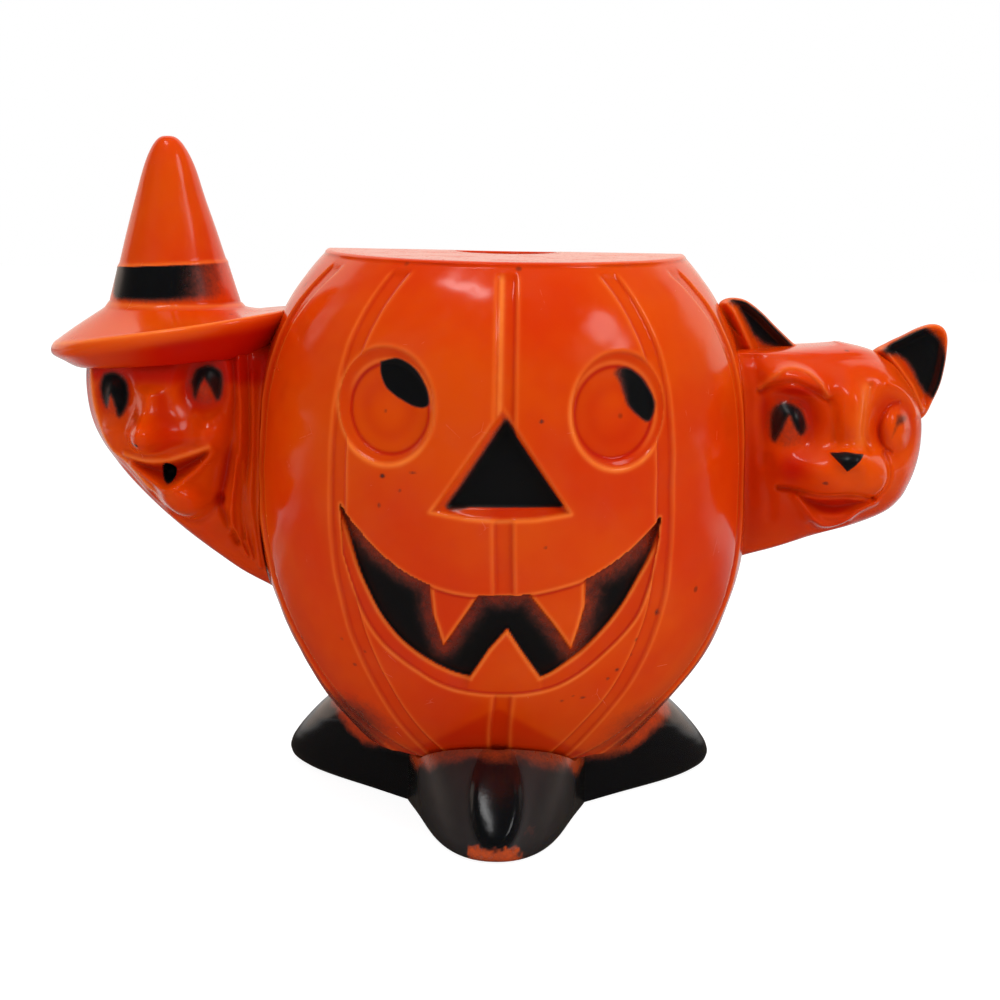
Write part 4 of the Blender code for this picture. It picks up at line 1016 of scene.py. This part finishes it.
turn = np.linspace(0, math.tau, HAT_COLUMNS, endpoint=False)[None, :]
r, z = profile[:, :1], profile[:, 1:] + 0 * turn
band_top = BAND_HIGH + 0.45 * np.cos(turn)
band_edge = bell(z - band_top, 0.24)
mould_line = bell(turn - MOULD_LINE_TURN, 0.022) * (z > HAT_BASE_HEIGHT) * (z < BAND_HIGH)
raised = step(band_top + 0.1, band_top - 0.25, z) + band_edge - mould_line
above_base = on_cone * step(HAT_BASE_HEIGHT - 0.1, HAT_BASE_HEIGHT + 0.8, z)
r = r + above_base * 0.12 * raised
r = r + on_cone * 0.04 * waver(r * np.cos(turn), r * np.sin(turn), z, 7.0, 41)
x, y = r * np.cos(turn), r * np.sin(turn)

across = x / BAND_RADIUS
strength = (0.30 + 0.70 * step(0.95, -0.30, across)) * step(1.0, 0.70, across)
strength = strength * step(-1.0, -0.75, across)
in_band = step(BAND_LOW - 0.7, BAND_LOW + 1.3, z) * step(band_top - 0.05, band_top - 0.35, z)
paint = 1.15 * in_band * (y < 0) * on_cone * strength
share = np.clip((r - HAT_BASE_RADIUS) / (BRIM_RADIUS - HAT_BASE_RADIUS), 0.0, 1.0)
# painted shade under the brim, more towards the pumpkin
crease = step(66.3, 64.0, z) * (share > 0.3) * outside * (0.45 + 0.55 * step(-9.0, 4.0, x))
# painted highlights along the band's top edge, the brim's top edge and the foot of the cone
edge = most(
    0.55 * band_edge * above_base + 0.9 * bell(r - 16.9, 0.25) * (z > 65.9),
    0.5 * bell(z - HAT_BASE_HEIGHT, 0.25) * on_cone,
)
masks = {"paint": paint, "crease": crease, "edge": edge}

# the brim tilts up towards the pumpkin, the cone leans, and the brim stops at the pumpkin's side
height = z + x * BRIM_TILT * share
x = x + HAT_X - math.tan(HAT_LEAN) * np.clip(z - HAT_BASE_HEIGHT, 0.0, None)
clear = body_radius(np.minimum(height, RIM_HEIGHT)) - HEAD_SUNK
limit = np.sqrt(np.maximum(clear**2 - y**2, 0.0))
x = np.where(height < RIM_HEIGHT, -np.maximum(-x, limit), x)
points = np.stack([x, y, height], axis=-1)
hat_plastic = sprayed_plastic("glossy_orange_hat", 0.28, 0.14)
hat = moulding("pointed_hat", points, masks, hat_plastic)
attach(hat, "root")
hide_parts("witch_hat")

# The cat's head: two hollow shells like the witch's, of the same plastic, cemented along the middle
# and pegged to the pumpkin's other side. The eyes and the nose are sprayed black through a mask.
CAT_MIDDLE = 46.8
CAT_FACE_GRID = 300, 230
CAT_SECTIONS = np.array([
    (35.2, 35.0, 2.2, 2.0), (36.8, 40.0, 4.6, 4.8), (38.6, 45.0, 6.0, 7.4), (40.5, 50.9, 8.2, 9.0),
    (42.4, 54.9, 10.4, 10.2), (44.3, 56.8, 12.2, 11.1), (46.5, 57.9, 13.2, 11.8),
    (52.0, 59.3, 13.4, 12.6), (57.0, 58.9, 12.8, 12.4), (61.0, 56.8, 11.2, 11.0),
    (63.8, 54.0, 8.6, 8.6), (65.3, 50.7, 5.6, 5.6), (65.9, 47.8, 2.2, 2.2),
])
CAT_MOUNDS = (
    (39.3, 55.9, 4.0, 4.1, 0, -2.6, 2.0), (38.9, 55.4, 2.6, 3.1, 0, 2.9, 1.6),
    (39.9, 61.3, 4.2, 1.8, -10, 1.5, 1.6), (53.9, 55.2, 3.8, 4.7, 6, -2.0, 1.8),
    (54.0, 54.9, 2.1, 2.9, 4, 2.0, 1.8), (47.2, 57.4, 2.1, 4.8, 0, 1.9, 1.6),
    (47.0, 48.6, 6.3, 3.9, 0, 2.5, 1.9), (43.8, 48.9, 2.9, 2.6, 0, 1.0, 1.3),
    (50.3, 48.8, 2.6, 2.6, 0, 1.0, 1.3), (47.2, 51.3, 2.4, 1.4, 0, 1.4, 1.4),
    (38.9, 49.8, 3.2, 2.8, 0, 1.3, 1.3), (45.2, 42.3, 3.5, 1.7, 0, 1.7, 1.4),
    (56.2, 50.0, 2.2, 3.2, 0, 0.6, 1.2), (53.8, 60.9, 3.4, 1.5, -30, 0.9, 1.3),
)
CAT_LINES = (
    ([(35.4, 59.5), (37.0, 60.4), (39.6, 61.0), (42.1, 60.1), (44.4, 58.8)], 0.45, -0.7),
    ([(35.4, 60.0), (36.7, 61.5), (38.3, 62.8), (40.0, 63.0), (41.8, 62.4), (43.3, 60.9),
        (44.2, 59.3)], 0.35, 0.55),
    ([(50.2, 60.6), (49.5, 58.0), (49.2, 54.8), (50.0, 52.3)], 0.5, -0.5),
    ([(44.9, 58.0), (45.2, 55.4), (45.3, 53.4)], 0.5, -0.45),
    ([(54.6, 58.3), (52.8, 57.6), (51.6, 55.2), (52.0, 52.8), (53.4, 51.6)], 0.3, -0.45),
    ([(53.0, 61.0), (55.0, 60.0), (56.9, 58.1), (57.5, 56.4)], 0.4, 0.55),
    ([(38.2, 46.6), (40.2, 46.4), (42.9, 45.9), (44.9, 45.9), (47.3, 46.1), (49.3, 45.8),
        (51.0, 45.2)], 0.45, -1.3),
    ([(40.4, 45.6), (41.7, 43.9), (43.1, 42.2), (44.4, 41.3), (46.1, 41.4), (47.6, 42.3),
        (49.1, 43.6), (51.2, 44.8)], 0.6, 1.2),
    ([(52.4, 51.5), (53.0, 49.0), (52.5, 46.9), (51.2, 45.3)], 0.45, -0.9),
    ([(36.2, 50.5), (36.6, 47.4), (37.1, 45.0), (37.4, 42.0)], 0.9, -0.5),
    ([(34.6, 63.6), (35.2, 61.4), (35.7, 59.0), (36.0, 56.5), (36.1, 53.0),
        (36.2, 50.0)], 0.9, -0.6),
    ([(42.9, 41.2), (44.4, 40.2), (46.4, 40.3), (48.2, 41.4)], 0.5, -0.8),
)
CAT_NOSE = [(44.3, 51.9), (46.4, 52.2), (48.8, 51.9), (46.5, 49.6)]
CAT_MOUTH = [
    (40.2, 46.0), (42.9, 45.5), (44.9, 45.5), (47.3, 45.7), (50.6, 45.0), (48.9, 44.2),
    (47.3, 43.3), (45.6, 42.9), (43.6, 43.3), (41.6, 44.6),
]
# the line of a painted highlight down the side of the nose
CAT_NOSE_SIDE_HIGHLIGHT = [(49.6, 60.3), (48.7, 57.0), (48.7, 53.4)]
# an oval of brown haze round the left eye: partly thin overspray, partly painted shade in its
# socket
CAT_HAZE_AND_SHADE = (39.0, 55.5, 3.5, 3.9)
CAT_LEFT_PUPIL = [
    (36.9, 53.5), (36.9, 56.6), (38.0, 58.0), (39.6, 58.0), (41.0, 56.8), (41.5, 54.9),
    (40.8, 53.9), (39.7, 55.2), (39.1, 56.6), (38.2, 54.6), (37.4, 52.9),
]
CAT_RIGHT_PUPIL = [
    (54.0, 56.9), (55.8, 56.6), (55.6, 55.6), (54.4, 55.2), (53.3, 53.7), (53.6, 55.2),
]


def cat_crown(z, inset):
    """The head's pumpkin side: inside the pumpkin, and over its own middle at the top."""
    end = CAT_SECTIONS[-1, 0]
    share = step(end - 1.5, end, z + inset)
    return peg_end(inset) * (1 - share) + (CAT_MIDDLE + inset) * share


def cat_face(x, z):
    """What the cat's features add to the front, and its paint, its painted shade and its painted
    highlights.
    """
    mouth = inside_curve(x, z, CAT_MOUTH)
    nose = inside(x, z, CAT_NOSE)
    added = bumps(x, z, CAT_MOUNDS, CAT_LINES)
    added = added - 1.6 * step(-0.3, 1.2, mouth) + 0.35 * step(-0.35, 0.2, nose)
    added = added + 0.05 * waver(x, 0 * x, z, 4.0, 51)
    added = added * step(65.8, 64.2, z) * step(35.3, 37.5, z)
    lip_mark = np.hypot((x - 43.5) * 0.55, z - 47.9) + 0.1 * waver(x, 0 * x, z, 0.9, 53)
    paint = most(
        1.05 * step(-0.9, 0.9, inside_curve(x, z, CAT_LEFT_PUPIL)),
        0.5 * step(-0.5, 0.6, inside_curve(x, z, CAT_RIGHT_PUPIL)),
        0.30 * step(-0.6, 1.4, inside_oval(x, z, *CAT_HAZE_AND_SHADE)),
        1.25 * step(-0.1, 0.15, nose),
        0.5 * step(0.45, 0.1, lip_mark),
    )
    # painted shade: in hollows, in the mouth, under the left brow, beside the muzzle on the left,
    # and next to the pumpkin
    crease = most(
        np.clip(-added * 0.4, 0.0, 0.7),
        0.7 * step(-0.3, 0.6, mouth),
        0.75 * bell(np.hypot((x - 40.0) / 3.8, z - 59.8), 1.0),
        0.8 * bell(np.hypot((x - 39.5) / 2.6, (z - 49.4) / 2.4), 1.0),
        0.35 * step(38.0, 35.0, x),
    )
    # painted highlights along the left brow and down the side of the nose
    edge = most(
        0.4 * bell(from_line(x, z, CAT_LINES[1][0]), 0.35),
        0.5 * bell(from_line(x, z, CAT_NOSE_SIDE_HIGHLIGHT), 0.9),
    )
    return added, paint, crease, edge


cat = (CAT_SECTIONS, 1, CAT_MIDDLE, cat_crown)
cat_plastic = sprayed_plastic("glossy_orange_cat", 0.30, 0.13)
points, masks, crisp = head_half(*cat, True, *CAT_FACE_GRID, cat_face)
cat_front = moulding("cat_face_half", points, masks, cat_plastic, "columns", (), crisp)
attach(cat_front, "root")
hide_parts("cat_head_front_shell")
points, masks, crisp = head_half(*cat, False, *BACK_GRID, plain_back)
cat_back = moulding("cat_back_half", points, masks, cat_plastic, "columns", (), crisp)
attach(cat_back, "root")
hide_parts("cat_head_back_shell")

# The cat's ears: solid, moulded in one with the head's halves, so each has a front and a back half.
# The front is raised along a fold and scooped out beside it, and is sprayed black inside its rim.
EAR_RINGS = 70
EAR_PARTS = 12
EAR_FLAT_STEP = 23
EARS = {
    "inner": {
        "middle": (35.4, 66.4), "thick": 1.9,
        "outline": [(36.0, 62.4), (41.0, 62.6), (42.2, 64.6), (40.7, 65.9), (38.4, 68.0),
            (36.3, 70.0), (34.2, 71.5), (32.4, 71.9), (30.9, 71.6), (30.2, 70.6), (30.5, 68.0),
            (31.4, 65.2), (33.0, 63.2)],
        "fold": [(31.2, 71.2), (32.2, 69.9), (33.5, 67.4), (34.7, 64.9), (35.3, 63.5)],
        "black": [(32.0, 71.7), (33.3, 71.0), (34.4, 69.1), (35.6, 67.0), (36.9, 65.9),
            (38.3, 65.5), (40.3, 65.5), (38.3, 67.7), (36.3, 69.8), (34.2, 71.3)],
    },
    "outer": {
        "middle": (57.6, 62.6), "thick": 2.0,
        "outline": [(51.6, 61.6), (52.0, 64.4), (54.4, 66.0), (56.4, 67.0), (58.3, 68.0),
            (60.0, 68.6), (61.3, 68.6), (62.3, 68.0), (62.8, 66.8), (62.8, 64.7), (62.6, 62.7),
            (62.1, 60.2), (61.2, 57.9), (59.9, 55.4), (57.6, 54.6), (54.6, 57.4)],
        "fold": [(53.4, 65.2), (55.6, 62.6), (57.6, 60.0), (59.2, 56.6)],
        "black": [(53.9, 64.9), (55.6, 66.7), (57.3, 67.6), (59.2, 68.0), (60.5, 67.1),
            (61.5, 66.2), (62.3, 63.8), (62.0, 60.8), (61.1, 58.6), (60.2, 59.3), (59.3, 60.6),
            (58.4, 62.3), (57.3, 63.8), (55.8, 64.7)],
    },
}


def ear(middle, thick, outline, fold, black, front):
    """Half of an ear: rings round its middle, drawn out to the outline. With s the share of the way
    out, it stands out as thick (1 - s^4)^(1/2)."""
    rim = np.array(curved(outline + outline[:1], EAR_PARTS)[:-1])
    out = 1 - (1 - np.linspace(0, 1, EAR_RINGS)[:, None]) ** 1.6
    x, z = (middle[k] + out * (rim[None, :, k] - middle[k]) for k in (0, 1))
    stand = thick * np.sqrt(1 - out**4)
    paint, edge = 0 * x, 0 * x
    if front:
        deep = np.maximum(inside(x, z, list(map(tuple, rim))), 0.0)
        fold_away = from_line(x, z, fold)
        above_fold = x + 0.9 * z > fold[1][0] + 0.9 * fold[1][1] - 2.0
        scoop = step(0.25, 1.6, deep) * step(0.2, 1.4, fold_away) * np.where(above_fold, 1.0, 0.3)
        stand = np.maximum(stand - 1.4 * scoop, 0.15)
        stand = stand + 0.8 * bell(fold_away, 0.6) * step(0.0, 0.6, deep)
        paint = 1.15 * step(-1.5, 0.9, inside(x, z, black)) * (0.25 + 0.75 * step(0.0, 0.5, deep))
        # painted highlights along the rim of the scoop and along the fold
        edge = 0.5 * bell(deep - 0.1, 0.3) + 0.3 * bell(fold_away, 0.3)
    y = (-1 if front else 1) * stand + 0 * x
    y[-1] = 0.0
    flat = slice(None, None, -EAR_FLAT_STEP)
    seam = np.stack([x[flat], 0 * x[flat], z[flat]], axis=-1)
    points = np.concatenate([np.stack([x, y, z], axis=-1), seam])
    masks = {"paint": paint, "edge": edge, "crease": 0 * x}
    return points, {key: np.concatenate([mask, 0 * mask[flat]]) for key, mask in masks.items()}


for key, sizes in EARS.items():
    for side, node in (("front", "cat_head_front_shell"), ("back", "cat_head_back_shell")):
        points, masks = ear(**sizes, front=side == "front")
        clear = body_radius(points[..., 2]) - HEAD_SUNK
        limit = np.sqrt(np.maximum(clear**2 - points[..., 1] ** 2, 0.0))
        points[..., 0] = np.maximum(points[..., 0], limit)
        made = moulding(f"cat_{key}_ear_{side}", points, masks, cat_plastic)
        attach(made, "root")
        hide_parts(node)

# The stage: a pale floor that keeps the shadow, a world that is white behind the container and dim
# on the camera's side, as in a white sweep, and soft lamps to both sides and above.
FLOOR_HALF = 2
FLOOR_Z = -0.0002
CORNERS = ((-1, -1), (1, -1), (1, 1), (-1, 1))

floor_mesh = bpy.data.meshes.new("floor")
corners = [(FLOOR_HALF * x, FLOOR_HALF * y, FLOOR_Z) for x, y in CORNERS]
floor_mesh.from_pydata(corners, [], [(0, 1, 2, 3)])
floor = bpy.data.objects.new("floor", floor_mesh)
bpy.context.scene.collection.objects.link(floor)
paper = bpy.data.materials.new("white_paper")
paper.use_nodes = True
tree = paper.node_tree
shader = tree.nodes["Principled BSDF"]
shader.inputs["Base Color"].default_value = (0.82, 0.82, 0.82, 1.0)
shader.inputs["Roughness"].default_value = 0.9
make = Wired(tree)


def glow(colour, strength):
    """Light that the floor gives off by itself."""
    return make.node("ShaderNodeEmission", sockets={"Color": colour, "Strength": strength})


def blend(factor, first, second):
    """A mix of two shaders."""
    return make.node("ShaderNodeMixShader", sockets={0: factor, 1: first, 2: second})


seen = make.node("ShaderNodeLightPath")
white = glow((1.0, 1.0, 1.0, 1.0), 1.45)
mixed = blend(seen * 0.62, Wired(tree, shader.outputs[0]), white)
# in the plastic's reflections the floor is dark, and less so behind the container
mirrored = make.node("ShaderNodeLightPath", output=3)
position = make.node("ShaderNodeTexCoord", output=3)
along = make.node("ShaderNodeSeparateXYZ", sockets={0: position}, output=1)
dark = mirrored * (1.0 - along.rise(0.03, 0.14) * 0.7) * 0.98
mixed = blend(dark, mixed, glow((1.0, 0.80, 0.66, 1.0), 0.04))
tree.links.new(mixed.socket, tree.nodes["Material Output"].inputs["Surface"])
floor_mesh.materials.append(paper)

world = bpy.data.worlds.new("studio")
bpy.context.scene.world = world
world.use_nodes = True
tree = world.node_tree
make = Wired(tree)
way = make.node("ShaderNodeTexCoord", output=0)
apart = make.node("ShaderNodeSeparateXYZ", sockets={0: way}, output=1)
uneven = make.node("ShaderNodeTexNoise", sockets={"Vector": way, "Scale": 3.0, "Detail": 2.0})
behind = apart + (uneven - 0.5) * 0.5
white = make.node("ShaderNodeValToRGB", {"stops": [
    (0.0, (0.006, 0.006, 0.006, 1.0)), (0.45, (0.012, 0.011, 0.010, 1.0)),
    (0.54, (0.05, 0.042, 0.036, 1.0)), (0.68, (0.09, 0.072, 0.062, 1.0)),
    (0.74, (0.95, 0.77, 0.66, 1.0)), (1.0, (1.0, 0.82, 0.72, 1.0)),
]}, {0: behind * 0.5 + 0.5})
glossy = make.node("ShaderNodeLightPath", output=3)
seen = make.node("ShaderNodeLightPath")
sky = glossy.tint((0.60, 0.60, 0.60, 1.0), white)
sky = seen.tint(sky, (1.0, 1.0, 1.0, 1.0))
ground = tree.nodes["Background"]
tree.links.new(sky.socket, ground.inputs["Color"])
ground.inputs["Strength"].default_value = 1.0

AIM_HEIGHT = 0.045

for name, place, size, power, mirrored in (
    # in metres and watts, and whether the plastic mirrors it
    ("left_lamp", (-0.45, -0.35, 0.40), (0.30, 0.30), 0.5, False),
    ("right_lamp", (0.45, -0.35, 0.40), (0.30, 0.30), 1.15, False),
    ("top_lamp", (0.0, 0.05, 0.60), (0.35, 0.35), 1.2, False),
    ("ceiling_light", (-0.13, -0.14, 0.62), (0.24, 0.06), 0.22, True),
    ("window_light", (0.37, -0.20, 0.46), (0.15, 0.20), 0.20, True),
):
    light = bpy.data.lights.new(name, "AREA")
    light.shape = "ELLIPSE"
    light.size, light.size_y = size
    light.energy = power
    lamp = bpy.data.objects.new(name, light)
    lamp.visible_glossy = mirrored
    bpy.context.scene.collection.objects.link(lamp)
    lamp.location = place
    away = lamp.location.copy()
    away.z -= AIM_HEIGHT
    lamp.rotation_mode = "QUATERNION"
    lamp.rotation_quaternion = away.to_track_quat("Z", "Y")

bpy.context.scene.view_settings.view_transform = "Standard"
